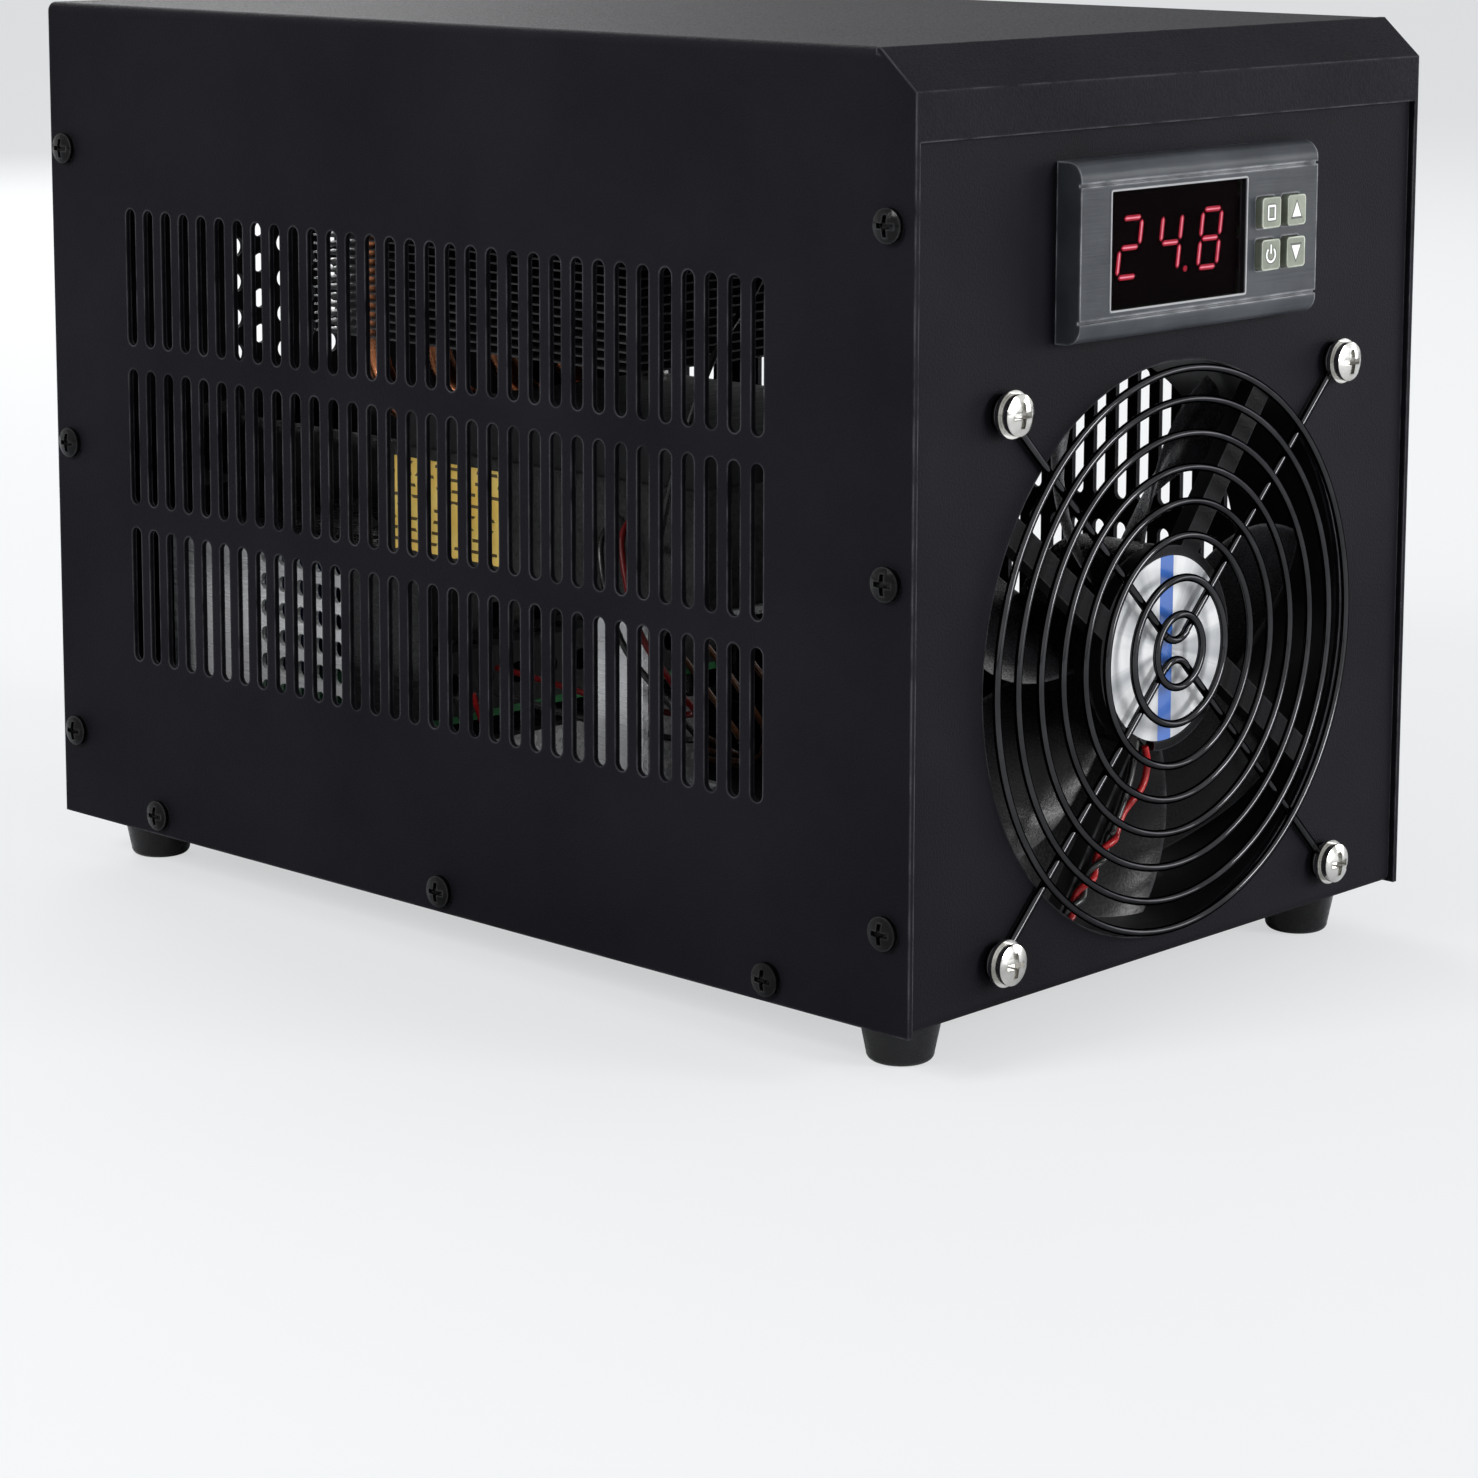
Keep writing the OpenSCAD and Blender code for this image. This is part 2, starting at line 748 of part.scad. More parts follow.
// Hexagonal nut on z = 0 with a plain bore
module hex_nut(corner_r, t, bore_r) {
  difference() {
    cylinder(r = corner_r, h = t, $fn = 6);
    translate([0, 0, -over])
      cylinder(r = bore_r, h = t + 2 * over);
  }
}

// Smooth curve through a route's points
function curve_point(a, b, c, d, t) =
  (2 * b + (c - a) * t + (2 * a - 5 * b + 4 * c - d) * t * t + (3 * b - a - 3 * c + d) * t * t * t) / 2;
function route_curve(p, n) = concat(
  [for (i = [0:len(p) - 2]) for (k = [0:n - 1])
    curve_point(p[max(i - 1, 0)], p[i], p[i + 1], p[min(i + 2, len(p) - 1)], k / n)],
  [p[len(p) - 1]]);
function unit(v) = v / norm(v);
function side_of(t) = unit(cross(t, abs(t[2]) < steep_share ? [0, 0, 1] : [1, 0, 0]));
function carried(ts, i, u) = i == len(ts) ? [] :
  let (w = unit(u - (u * ts[i]) * ts[i])) concat([w], carried(ts, i + 1, w));

function quad(a, b, c, d) = [[a, b, c], [a, c, d]];

// Round lead swept along its route
module lead(route, r) {
  c = route_curve(route, lead_steps);
  n = len(c);
  ts = [for (i = [0:n - 1]) unit(c[min(i + 1, n - 1)] - c[max(i - 1, 0)])];
  us = carried(ts, 0, side_of(ts[0]));
  polyhedron(
    points = [for (i = [0:n - 1]) for (k = [0:lead_sides - 1]) let (a = 360 * k / lead_sides)
      c[i] + r * (cos(a) * us[i] + sin(a) * cross(ts[i], us[i]))],
    faces = concat(
      [[for (k = [0:lead_sides - 1]) k]],
      [for (i = [0:n - 2]) for (k = [0:lead_sides - 1])
        let (a = i * lead_sides + k, b = i * lead_sides + (k + 1) % lead_sides)
        each quad(a, a + lead_sides, b + lead_sides, b)],
      [[for (k = [lead_sides - 1:-1:0]) (n - 1) * lead_sides + k]]));
}

// Case

module chassis_shell() {
  along_x(-inner_x, 2 * inner_x)
    difference() {
      intersection() {
        rounded_rect([panel_y, 0], [rear_face, case_h + bend_r], bend_r);
        translate([panel_y, 0])
          square([rear_face - panel_y, rear_top]);
      }
      rounded_rect([panel_back, sheet_t], [rear_back, case_h + bend_r + over], bend_r - sheet_t);
      translate([0, panel_top])
        square([case_d / 2, case_h]);
    }
}

module chassis_flanges() {
  for (x = [-inner_x, inner_x - sheet_t]) {
    span([x, panel_y + bend_r, bend_r], [x + sheet_t, panel_y + flange_w, panel_top - bend_r]);
    span([x, rear_face - flange_w, bend_r], [x + sheet_t, rear_face - bend_r, rear_top - bend_r]);
    span([x, panel_y + bend_r, sheet_t / 2], [x + sheet_t, rear_face - bend_r, flange_w]);
  }
}

module fan_corner_places() {
  for (x = [-1, 1], z = [-1, 1])
    translate([x * fan_pitch / 2, 0, fan_z + z * fan_pitch / 2])
      children();
}

module rear_vents() {
  for (c = [0:vent_cols - 1])
    for (r = [0:vent_rows - 1 - c % 2])
      translate([(c - (vent_cols - 1) / 2) * vent_col_pitch, rear_back - over,
        vent_low_z + (r + (c % 2) / 2) * vent_pitch])
        rod_y(vent_r, sheet_t + 2 * over);
}

module base_chassis() {
  color([0.1, 0.1, 0.11])
    placed()
      difference() {
        union() {
          chassis_shell();
          chassis_flanges();
        }
        translate([0, panel_y - over, fan_z])
          rod_y(duct_r, sheet_t + 2 * over);
        fan_corner_places()
          translate([0, panel_y - over, 0])
            rod_y(fan_screw_r, sheet_t + 2 * over);
        span([-ctrl_w / 2 - cutout_slip, panel_y - over, ctrl_z - ctrl_h / 2 - cutout_slip],
          [ctrl_w / 2 + cutout_slip, panel_back + over, ctrl_z + ctrl_h / 2 + cutout_slip]);
        for (p = foot_places)
          translate([p[0], p[1], -over])
            cylinder(r = foot_screw_r + screw_slip, h = sheet_t + 2 * over);
        for (p = cover_screw_places)
          translate([-half_w, p[0], p[1]])
            rod_x(cover_screw_r + screw_slip, case_w);
        for (x = port_xs)
          translate([x, rear_back - over, port_z])
            rod_y(tail_thread_r + tail_hole_slip, sheet_t + 2 * over);
        span([inlet_x - inlet_body_w / 2 - inlet_slip, rear_back - over, inlet_z - inlet_body_h / 2 - inlet_slip],
          [inlet_x + inlet_body_w / 2 + inlet_slip, rear_face + over, inlet_z + inlet_body_h / 2 + inlet_slip]);
        rear_vents();
      }
}

module cover_skin() {
  along_y(0, case_d)
    difference() {
      intersection() {
        rounded_rect([-half_w, -bend_r], [half_w, case_h], bend_r);
        translate([-half_w, 0])
          square([case_w, case_h]);
      }
      rounded_rect([-half_w + sheet_t, -bend_r - over], [half_w - sheet_t, case_h - sheet_t], bend_r - sheet_t);
    }
}

// The lip and the slope are one bent strip along the front edge of the top
module cover_lip() {
  lean = atan2(slope_h, slope_d);
  low_turn = sheet_t * tan(lean / 2);
  high_turn = sheet_t * tan((90 - lean) / 2);
  along_x(-half_w, case_w)
    polygon([
      [0, lip_z], [0, slope_z], [slope_d, case_h], [slope_d + over, case_h],
      [slope_d + over, case_h - sheet_t], [slope_d + low_turn, case_h - sheet_t],
      [sheet_t, slope_z - high_turn], [sheet_t, lip_z]]);
}

module side_slots() {
  along_x(-half_w - over, case_w + 2 * over)
    for (row = [0:slot_rows - 1])
      for (i = [0:slot_count - 1])
        translate([slot_front + i * slot_pitch, slot_low_z + row * slot_row_pitch])
          slot_2d(slot_w, slot_len);
}

module top_cover() {
  color([0.1, 0.1, 0.11])
    placed()
      difference() {
        union() {
          difference() {
            cover_skin();
            along_x(-half_w - over, case_w + 2 * over)
              polygon([[-over, slope_z], [0, slope_z], [slope_d, case_h],
                [slope_d, case_h + over], [-over, case_h + over]]);
          }
          cover_lip();
        }
        side_slots();
        for (p = cover_screw_places)
          translate([-half_w - over, p[0], p[1]])
            rod_x(cover_screw_r + screw_slip, case_w + 2 * over);
      }
}

module cover_screws() {
  color([0.08, 0.08, 0.08])
    placed()
      for (p = cover_screw_places, s = [-1, 1])
        translate([s * half_w, p[0], p[1]])
          rotate([0, s * 90, 0])
            pan_screw(cover_screw_r, cover_screw_len, cover_screw_head_r, cover_screw_head_h);
}

module rubber_feet() {
  color([0.03, 0.03, 0.03])
    placed()
      for (p = foot_places)
        translate([p[0], p[1], -foot_h])
          rotate_extrude()
            difference() {
              union() {
                polygon([[0, 0], [foot_low_r - foot_round, 0], [foot_low_r, foot_round],
                  [foot_top_r, foot_h], [0, foot_h]]);
                intersection() {
                  translate([foot_low_r - foot_round, foot_round])
                    circle(foot_round);
                  square([foot_top_r, foot_h]);
                }
              }
              translate([-over, foot_h - foot_web - over])
                square([over + foot_screw_r + screw_slip, foot_web + 2 * over]);
              translate([-over, -over])
                square([over + foot_seat_r, over + foot_h - foot_web]);
            }
}

module foot_fasteners() {
  color([0.7, 0.7, 0.72])
    placed()
      for (p = foot_places)
        translate([p[0], p[1], 0]) {
          translate([0, 0, -foot_web])
            rotate([180, 0, 0])
              pan_screw(foot_screw_r, foot_web + sheet_t + foot_nut_t,
                foot_seat_r - foot_head_slip, foot_head_h);
          translate([0, 0, sheet_t])
            hex_nut(foot_nut_r, foot_nut_t, foot_screw_r + press_slip);
        }
}

// Fan

// Moves its children to the fan's axis, at a given y
module on_fan(y) {
  translate([0, y, fan_z])
    children();
}

// Bar along a strut's line, between two distances to its sides
module strut(s, low, high, t) {
  a = strut_from[s];
  b = strut_to[s];
  translate([a[0], 0, a[1]])
    rotate([0, -atan2(b[1] - a[1], b[0] - a[0]), 0])
      span([0, 0, low], [norm(b - a), t, high]);
}

module fan_frame_solid() {
  difference() {
    union() {
      for (y = [fan_y, fan_y + fan_d - fan_flange_t])
        along_y(y, fan_flange_t)
          rounded_rect([-fan_w / 2, fan_z - fan_w / 2], [fan_w / 2, fan_z + fan_w / 2], fan_corner_r);
      on_fan(fan_y)
        rod_y(duct_r + duct_wall, fan_d);
      fan_corner_places()
        translate([0, fan_y, 0])
          rod_y(fan_boss_r, fan_d);
    }
    on_fan(fan_y - over)
      rod_y(duct_r, fan_d + 2 * over);
    fan_corner_places()
      translate([0, fan_y - over, 0])
        rod_y(fan_screw_r, fan_d + 2 * over);
  }
  on_fan(fan_y) {
    rod_y(motor_plate_r, motor_plate_t);
    rod_y(tube_r, motor_plate_t + rotor_gap + tube_len);
    for (s = [0:3])
      intersection() {
        strut(s, -strut_w / 2, strut_w / 2, strut_t);
        rod_y(duct_r + duct_wall / 2, fan_d);
      }
  }
}

module fan_frame() {
  color([0.07, 0.07, 0.075])
    placed()
      difference() {
        fan_frame_solid();
        on_fan(fan_y - over) {
          rod_y(fan_label_r + label_t, over + label_t);
          strut(0, -lead_groove_w / 2, strut_w / 2 + over, over + lead_groove_d);
          translate([fan_red_route[0][0], 0, fan_red_route[0][2] - fan_z])
            rod_y(lead_notch_r, over + lead_groove_d);
          translate([strut_to[0][0], 0, strut_to[0][1]])
            rod_y(lead_hole_r, fan_d + 2 * over);
        }
        on_fan(plate_back)
          rod_y(bearing_r + press_slip, fan_d);
      }
}

module fan_hub_label() {
  color([0.88, 0.88, 0.9])
    placed()
      on_fan(fan_y)
        rod_y(fan_label_r, label_t);
}

module fan_circuit_board() {
  color([0.1, 0.35, 0.2])
    placed()
      on_fan(rotor_y)
        difference() {
          rod_y(fan_board_r, fan_board_t);
          translate([0, -over, 0])
            rod_y(tube_r + press_slip, fan_board_t + 2 * over);
        }
}

module fan_stator_core() {
  color([0.55, 0.56, 0.58])
    placed()
      on_fan(stator_y)
        difference() {
          union() {
            rod_y(stator_yoke_r, stator_t);
            for (a = [0:90:270])
              rotate([0, a, 0]) {
                translate([0, 0, -pole_w / 2])
                  cube([stator_r - pole_shoe_t / 2, stator_t, pole_w]);
                difference() {
                  intersection() {
                    rod_y(stator_r, stator_t);
                    along_y(0, stator_t)
                      polygon([[0, 0],
                        2 * stator_r * [cos(pole_shoe_angle), sin(pole_shoe_angle)],
                        2 * stator_r * [cos(pole_shoe_angle), -sin(pole_shoe_angle)]]);
                  }
                  translate([0, -over, 0])
                    rod_y(stator_r - pole_shoe_t, stator_t + 2 * over);
                }
              }
          }
          translate([0, -over, 0])
            rod_y(tube_r + press_slip, stator_t + 2 * over);
        }
}

module fan_coils() {
  inner = stator_yoke_r + coil_inset;
  outer = stator_r - pole_shoe_t - coil_inset;
  color([0.72, 0.38, 0.2])
    placed()
      on_fan(stator_y)
        for (a = [0:90:270])
          rotate([0, a, 0])
            difference() {
              span([inner, -coil_t, -pole_w / 2 - coil_t], [outer, stator_t + coil_t, pole_w / 2 + coil_t]);
              span([inner - over, -press_slip, -pole_w / 2 - press_slip],
                [outer + over, stator_t + press_slip, pole_w / 2 + press_slip]);
            }
}

module fan_bearings() {
  color([0.75, 0.75, 0.77])
    placed()
      for (y = [plate_back + bearing_gap, rotor_y + tube_len - bearing_w])
        on_fan(y)
          difference() {
            rod_y(bearing_r, bearing_w);
            translate([0, -over, 0])
              rod_y(shaft_r + shaft_slip, bearing_w + 2 * over);
          }
}

// Blade surface: u runs from root to tip and v from the leading to the trailing edge
function blade_point(u, v, side) =
  let (r = blade_root_r + (blade_tip_r - blade_root_r) * u,
    wrap = blade_wrap * (1 - (1 - blade_tip_wrap_share) * u),
    a = -blade_sweep * u * u - (v - 1 / 2) * wrap,
    t = blade_t * (blade_edge_share + (1 - blade_edge_share) * sin(180 * v)) * (1 - u / 3),
    y = blade_depth * v + blade_camber * sin(180 * v) * (v - 1 / 2) * 2)
  [r * cos(a), blade_y + blade_t + y + side * t / 2, r * sin(a)];

module blade() {
  row = blade_steps + 1;
  sheet = row * (blade_rows + 1);
  tip = blade_rows * row;
  polyhedron(
    points = [for (side = [1, -1]) for (i = [0:blade_rows]) for (j = [0:blade_steps])
      blade_point(i / blade_rows, j / blade_steps, side)],
    faces = concat(
      [for (i = [0:blade_rows - 1]) for (j = [0:blade_steps - 1]) let (a = i * row + j)
        each quad(a, a + 1, a + row + 1, a + row)],
      [for (i = [0:blade_rows - 1]) for (j = [0:blade_steps - 1]) let (a = sheet + i * row + j)
        each quad(a, a + row, a + row + 1, a + 1)],
      [for (i = [0:blade_rows - 1]) let (a = i * row, b = a + row)
        each quad(a, b, sheet + b, sheet + a)],
      [for (i = [0:blade_rows - 1]) let (a = i * row + blade_steps, b = a + row)
        each quad(a, sheet + a, sheet + b, b)],
      [for (j = [0:blade_steps - 1]) each quad(j, sheet + j, sheet + j + 1, j + 1)],
      [for (j = [tip:tip + blade_steps - 1]) each quad(j, j + 1, sheet + j + 1, sheet + j)]));
}

module fan_rotor() {
  color([0.06, 0.06, 0.065])
    placed()
      union() {
        on_fan(rotor_y)
          difference() {
            union() {
              difference() {
                rod_y(hub_r, rotor_len);
                translate([0, -over, 0])
                  rod_y(hub_r - hub_wall, rotor_len - hub_end_t + over);
              }
              translate([0, rotor_len - hub_end_t - hub_boss_len, 0])
                rod_y(hub_boss_r, hub_boss_len + hub_end_t / 2);
            }
            translate([0, rotor_len - hub_end_t - hub_boss_len - over, 0])
              rod_y(shaft_r + press_slip, hub_boss_len + hub_end_t / 2 + over);
          }
        on_fan(0)
          for (i = [0:blade_count - 1])
            rotate([0, i * 360 / blade_count, 0])
              blade();
      }
}

module fan_magnet() {
  color([0.3, 0.3, 0.31])
    placed()
      on_fan(rotor_y + (rotor_len - hub_end_t - magnet_len) / 2)
        difference() {
          rod_y(hub_r - hub_wall - press_slip, magnet_len);
          translate([0, -over, 0])
            rod_y(stator_r + air_gap, magnet_len + 2 * over);
        }
}

module fan_shaft() {
  color([0.8, 0.8, 0.82])
    placed()
      on_fan(plate_back + rotor_gap)
        rod_y(shaft_r, rotor_len - hub_end_t / 2 - rotor_gap);
}

// Guard: rings in front, and two wires that each run from an eye to the middle and back
module guard_ring(r) {
  rotate([90, 0, 0])
    rotate_extrude($fn = 96)
      translate([r, 0])
        circle(wire_r, $fn = 20);
}

// Leg of a guard wire along X, which ends in an eye on the panel
module guard_leg() {
  translate([guard_bend_r, leg_y, 0])
    rod_x(wire_r, leg_reach - eye_r + eye_sink - guard_bend_r);
  translate([leg_reach, eye_y, 0])
    guard_ring(eye_r);
}

module guard_wire() {
  for (a = [45, 135])
    rotate([0, -a, 0])
      guard_leg();
  translate([0, leg_y - eye_sink / 2, guard_bend_r * sqrt(2)])
    rotate([90, 0, 0])
      rotate([0, 0, 225])
        rotate_extrude(angle = 90)
          translate([guard_bend_r, 0])
            circle(wire_r, $fn = 20);
}

module fan_guard() {
  color([0.05, 0.05, 0.05])
    placed()
      union() {
        for (share = guard_ring_shares)
          on_fan(ring_y)
            guard_ring(guard_r * share);
        for (turn = [0, 180])
          on_fan(0)
            rotate([0, turn, 0])
              guard_wire();
      }
}

module fan_guard_screws() {
  color([0.78, 0.78, 0.8])
    placed()
      fan_corner_places()
        translate([0, washer_y - washer_t, 0])
          rotate([90, 0, 0])
            pan_screw(guard_screw_r, fan_y + fan_d + guard_nut_t + screw_tail - washer_y + washer_t,
              guard_head_r, guard_head_h);
}

module fan_guard_nuts() {
  color([0.78, 0.78, 0.8])
    placed()
      fan_corner_places() {
        translate([0, washer_y - washer_t, 0])
          difference() {
            rod_y(washer_r, washer_t);
            translate([0, -over, 0])
              rod_y(guard_screw_r + screw_slip, washer_t + 2 * over);
          }
        translate([0, fan_y + fan_d, 0])
          rotate([-90, 0, 0])
            hex_nut(guard_nut_r, guard_nut_t, guard_screw_r + press_slip);
      }
}

module fan_lead_red() {
  color([0.75, 0.08, 0.08])
    placed()
      lead(fan_red_route, lead_r);
}

module fan_lead_black() {
  color([0.05, 0.05, 0.05])
    placed()
      lead(fan_black_route, lead_r);
}

// Controller

module bezel_section() {
  h = bezel_h / 2;
  intersection() {
    rounded_rect([face_y, -h], [panel_y + 2 * bezel_round, h], bezel_round);
    translate([face_y, -h])
      square([panel_y - face_y, bezel_h]);
  }
}

module controller_bezel() {
  color([0.16, 0.16, 0.17])
    placed()
      translate([0, 0, ctrl_z])
        difference() {
          along_x(-bezel_w / 2, bezel_w)
            bezel_section();
          span([-bezel_w / 2 + bezel_wall, face_back, -bezel_h / 2 + bezel_wall],
            [bezel_w / 2 - bezel_wall, panel_y + over, bezel_h / 2 - bezel_wall]);
          for (z = [-groove_z, groove_z])
            span([-bezel_w / 2 - over, face_y - over, z - groove_w / 2],
              [bezel_w / 2 + over, face_y + groove_d, z + groove_w / 2]);
          span([window_x - window_w / 2 - window_slip, face_y - over, -window_h / 2 - window_slip],
            [window_x + window_w / 2 + window_slip, panel_y, window_h / 2 + window_slip]);
          for (p = button_places)
            along_y(face_y - over, bezel_t + 2 * over)
              rounded_rect([p[0] - button_w / 2 - button_slip, p[1] - ctrl_z - button_w / 2 - button_slip],
                [p[0] + button_w / 2 + button_slip, p[1] - ctrl_z + button_w / 2 + button_slip],
                button_round);
        }
}

module controller_case() {
  color([0.12, 0.12, 0.125])
    placed()
      translate([0, 0, ctrl_z])
        difference() {
          span([-ctrl_w / 2, panel_y, -ctrl_h / 2], [ctrl_w / 2, panel_y + ctrl_d, ctrl_h / 2]);
          span([-ctrl_w / 2 + ctrl_wall, panel_y - over, -ctrl_h / 2 + ctrl_wall],
            [ctrl_w / 2 - ctrl_wall, panel_y + ctrl_d - ctrl_wall, ctrl_h / 2 - ctrl_wall]);
          span([-terminal_w / 2 - terminal_slip, panel_y + ctrl_d - ctrl_wall - over, -terminal_h / 2 - terminal_slip],
            [terminal_w / 2 + terminal_slip, panel_y + ctrl_d + over, terminal_h / 2 + terminal_slip]);
        }
}

module controller_window() {
  color([0.12, 0.02, 0.03])
    placed()
      translate([window_x, 0, ctrl_z])
        span([-window_w / 2, face_y + window_sink, -window_h / 2],
          [window_w / 2, window_back, window_h / 2]);
}

module display_module() {
  color([0.03, 0.03, 0.03])
    placed()
      translate([window_x, 0, ctrl_z])
        span([-window_w / 2, display_y, -window_h / 2], [window_w / 2, front_board_y, window_h / 2]);
}

// Slanted bar between two points of a digit, with pointed ends
function slanted(p) = [p[0] + p[1] * tan(digit_slant), p[1]];
function bar(a, b) =
  let (d = unit(b - a), n = [-d[1], d[0]], w = segment_w / 2, p = a + d * segment_gap, q = b - d * segment_gap)
  [for (v = [p, p + (d + n) * w, q + (n - d) * w, q, q - (n + d) * w, p + (d - n) * w]) slanted(v)];

module digit(on) {
  x = (digit_w - segment_w) / 2;
  z = (digit_h - segment_w) / 2;
  ends = [[[-x, z], [x, z]], [[x, z], [x, 0]], [[x, 0], [x, -z]], [[-x, -z], [x, -z]],
    [[-x, 0], [-x, -z]], [[-x, z], [-x, 0]], [[-x, 0], [x, 0]]];
  for (i = [0:6])
    if (on[i])
      polygon(bar(ends[i][0], ends[i][1]));
}

module display_digits() {
  color([1, 0.1, 0.2])
    placed()
      translate([window_x, 0, ctrl_z])
        along_y(display_y - digit_t, digit_t) {
          for (i = [0:2])
            translate([(i - 1) * digit_pitch, 0])
              digit(digit_segments[i]);
          translate([digit_pitch / 2 - dot_r, -digit_h / 2 + dot_r])
            circle(dot_r);
        }
}

module controller_boards() {
  x = ctrl_w / 2 - ctrl_wall - main_board_slip;
  color([0.08, 0.3, 0.16])
    placed()
      translate([0, 0, ctrl_z]) {
        span([-front_board_w / 2, front_board_y, -front_board_h / 2],
          [front_board_w / 2, front_board_y + board_t, front_board_h / 2]);
        span([-x, front_board_y + board_t, -main_board_drop - board_t],
          [x, panel_y + ctrl_d - ctrl_wall - main_board_slip, -main_board_drop]);
      }
}

module button_switches() {
  color([0.1, 0.1, 0.1])
    placed()
      for (p = button_places)
        translate([p[0], 0, p[1]]) {
          span([-switch_w / 2, switch_top_y + switch_cap_h, -switch_w / 2],
            [switch_w / 2, front_board_y, switch_w / 2]);
          translate([0, switch_top_y, 0])
            rod_y(switch_cap_r, switch_cap_h + over);
        }
}

module controller_clips() {
  color([0.75, 0.32, 0.08])
    placed()
      for (s = [-1, 1])
        translate([s * ctrl_w / 2, panel_back, ctrl_z])
          difference() {
            span([s > 0 ? 0 : -clip_t, 0, -clip_h / 2], [s > 0 ? clip_t : 0, clip_len, clip_h / 2]);
            span([-clip_t - over, clip_tongue, -clip_tongue / 2],
              [clip_t + over, clip_len - clip_tongue, clip_tongue / 2]);
          }
}

// Row of screw clamps: ways side by side, each with a wire mouth and a screw hole
module terminal_row(w, d, h, ways) {
  step = w / ways;
  difference() {
    cube([w, d, h]);
    for (i = [0:ways - 1])
      translate([(i + 1 / 2) * step, 0, 0]) {
        translate([0, d * (1 - mouth_depth_share), h / 2])
          rod_y(step * mouth_share, d * mouth_depth_share + over);
        translate([0, d / 2, h / 2])
          cylinder(r = step * clamp_hole_share, h = h);
      }
  }
}

module controller_terminals() {
  color([0.1, 0.4, 0.2])
    placed()
      translate([-terminal_w / 2, panel_y + ctrl_d - terminal_sink, ctrl_z - terminal_h / 2])
        terminal_row(terminal_w, terminal_d, terminal_h, terminal_ways);
}

module panel_button(i) {
  p = button_places[i];
  color([0.78, 0.8, 0.76])
    placed()
      translate([p[0], 0, p[1]]) {
        along_y(face_y - button_proud, button_proud + bezel_t)
          rounded_rect([-button_w / 2, -button_w / 2], [button_w / 2, button_w / 2], button_round);
        span([-button_w / 2 - button_flange, face_back, -button_w / 2 - button_flange],
          [button_w / 2 + button_flange, face_back + button_flange_t, button_w / 2 + button_flange]);
      }
}

module set_button() {
  panel_button(0);
}

module up_button() {
  panel_button(1);
}

module power_button() {
  panel_button(2);
}

module down_button() {
  panel_button(3);
}

// Power supply

module power_supply_base() {
  low = [psu_x, psu_z];
  high = [psu_x + psu_w, psu_z + psu_h];
  color([0.78, 0.79, 0.8])
    placed() {
      difference() {
        along_y(psu_y, psu_len)
          difference() {
            translate(low)
              square(high - low);
            translate(low + [psu_t, psu_t])
              square([psu_w - 2 * psu_t, psu_h]);
          }
        along_x(psu_x - over, psu_w + 2 * over)
          for (share = psu_slot_zs_share)
            for (i = [0:psu_slot_count - 1])
              translate([psu_y + psu_slot_front + i * psu_slot_pitch, psu_z + share * psu_h])
                slot_2d(psu_slot_w, psu_slot_len);
      }
      for (x = [psu_x + psu_post_inset, psu_x + psu_w - psu_post_inset],
          y = [psu_y + psu_post_inset, psu_y + psu_len - psu_post_inset])
        translate([x, y, psu_z + psu_t / 2])
          cylinder(r = psu_post_r, h = psu_board_lift + psu_t / 2);
    }
}

module power_supply_cover() {
  low = [psu_x + psu_t, psu_y + psu_terminal_len + board_t, psu_z + psu_t];
  high = [psu_x + psu_w - psu_t, psu_y + psu_len, psu_z + psu_h];
  cols = floor((psu_w - 2 * psu_hole_edge) / psu_hole_pitch) + 1;
  rows = floor((high[1] - low[1] - 2 * psu_hole_edge) / psu_hole_pitch) + 1;
  color([0.8, 0.81, 0.82])
    placed()
      difference() {
        union() {
          span([low[0], low[1], high[2] - psu_t], high);
          span([low[0], high[1] - psu_t, low[2]], high);
        }
        for (i = [0:cols - 1], j = [0:rows - 1])
          translate([psu_x + psu_hole_edge + i * psu_hole_pitch,
            low[1] + psu_hole_edge + j * psu_hole_pitch, high[2] - psu_t - over])
            cylinder(r = psu_hole_r, h = psu_t + 2 * over);
      }
}

module power_supply_board() {
  color([0.1, 0.35, 0.15])
    placed()
      span([psu_x + psu_board_inset, psu_y + psu_t, psu_board_z],
        [psu_x + psu_w - psu_board_inset, psu_y + psu_len - psu_board_inset, psu_board_z + board_t]);
}

module power_supply_transformer() {
  color([0.35, 0.33, 0.3])
    placed()
      translate([psu_x + psu_w / 2, psu_y + psu_t + psu_terminal_len + core_gap + core_len / 2, psu_parts_z]) {
        difference() {
          translate([-core_w / 2, -core_len / 2, 0])
            cube([core_w, core_len, core_h]);
          for (x = [core_leg - core_w / 2, core_leg / 2])
            span([x, -core_len / 2 - over, core_leg],
              [x + (core_w - 3 * core_leg) / 2, core_len / 2 + over, core_h - core_leg]);
        }
      }
}

module power_supply_capacitors() {
  color([0.08, 0.1, 0.3])
    placed()
      for (share = can_xs_share)
        translate([psu_x + psu_w * share, psu_y + psu_len - can_inset - can_r, psu_parts_z])
          difference() {
            cylinder(r = can_r, h = can_h);
            translate([0, 0, can_h - can_groove_drop])
              difference() {
                cylinder(r = can_r + over, h = can_groove);
                translate([0, 0, -over])
                  cylinder(r = can_r - can_groove, h = can_groove + 2 * over);
              }
          }
}

module power_supply_terminals() {
  w = psu_w - 2 * psu_terminal_inset;
  color([0.05, 0.05, 0.05])
    placed()
      translate([psu_x + psu_w / 2 + w / 2, psu_y + psu_terminal_len + psu_t, psu_parts_z])
        rotate([0, 0, 180])
          terminal_row(w, psu_terminal_len, psu_terminal_h, psu_terminal_ways);
}

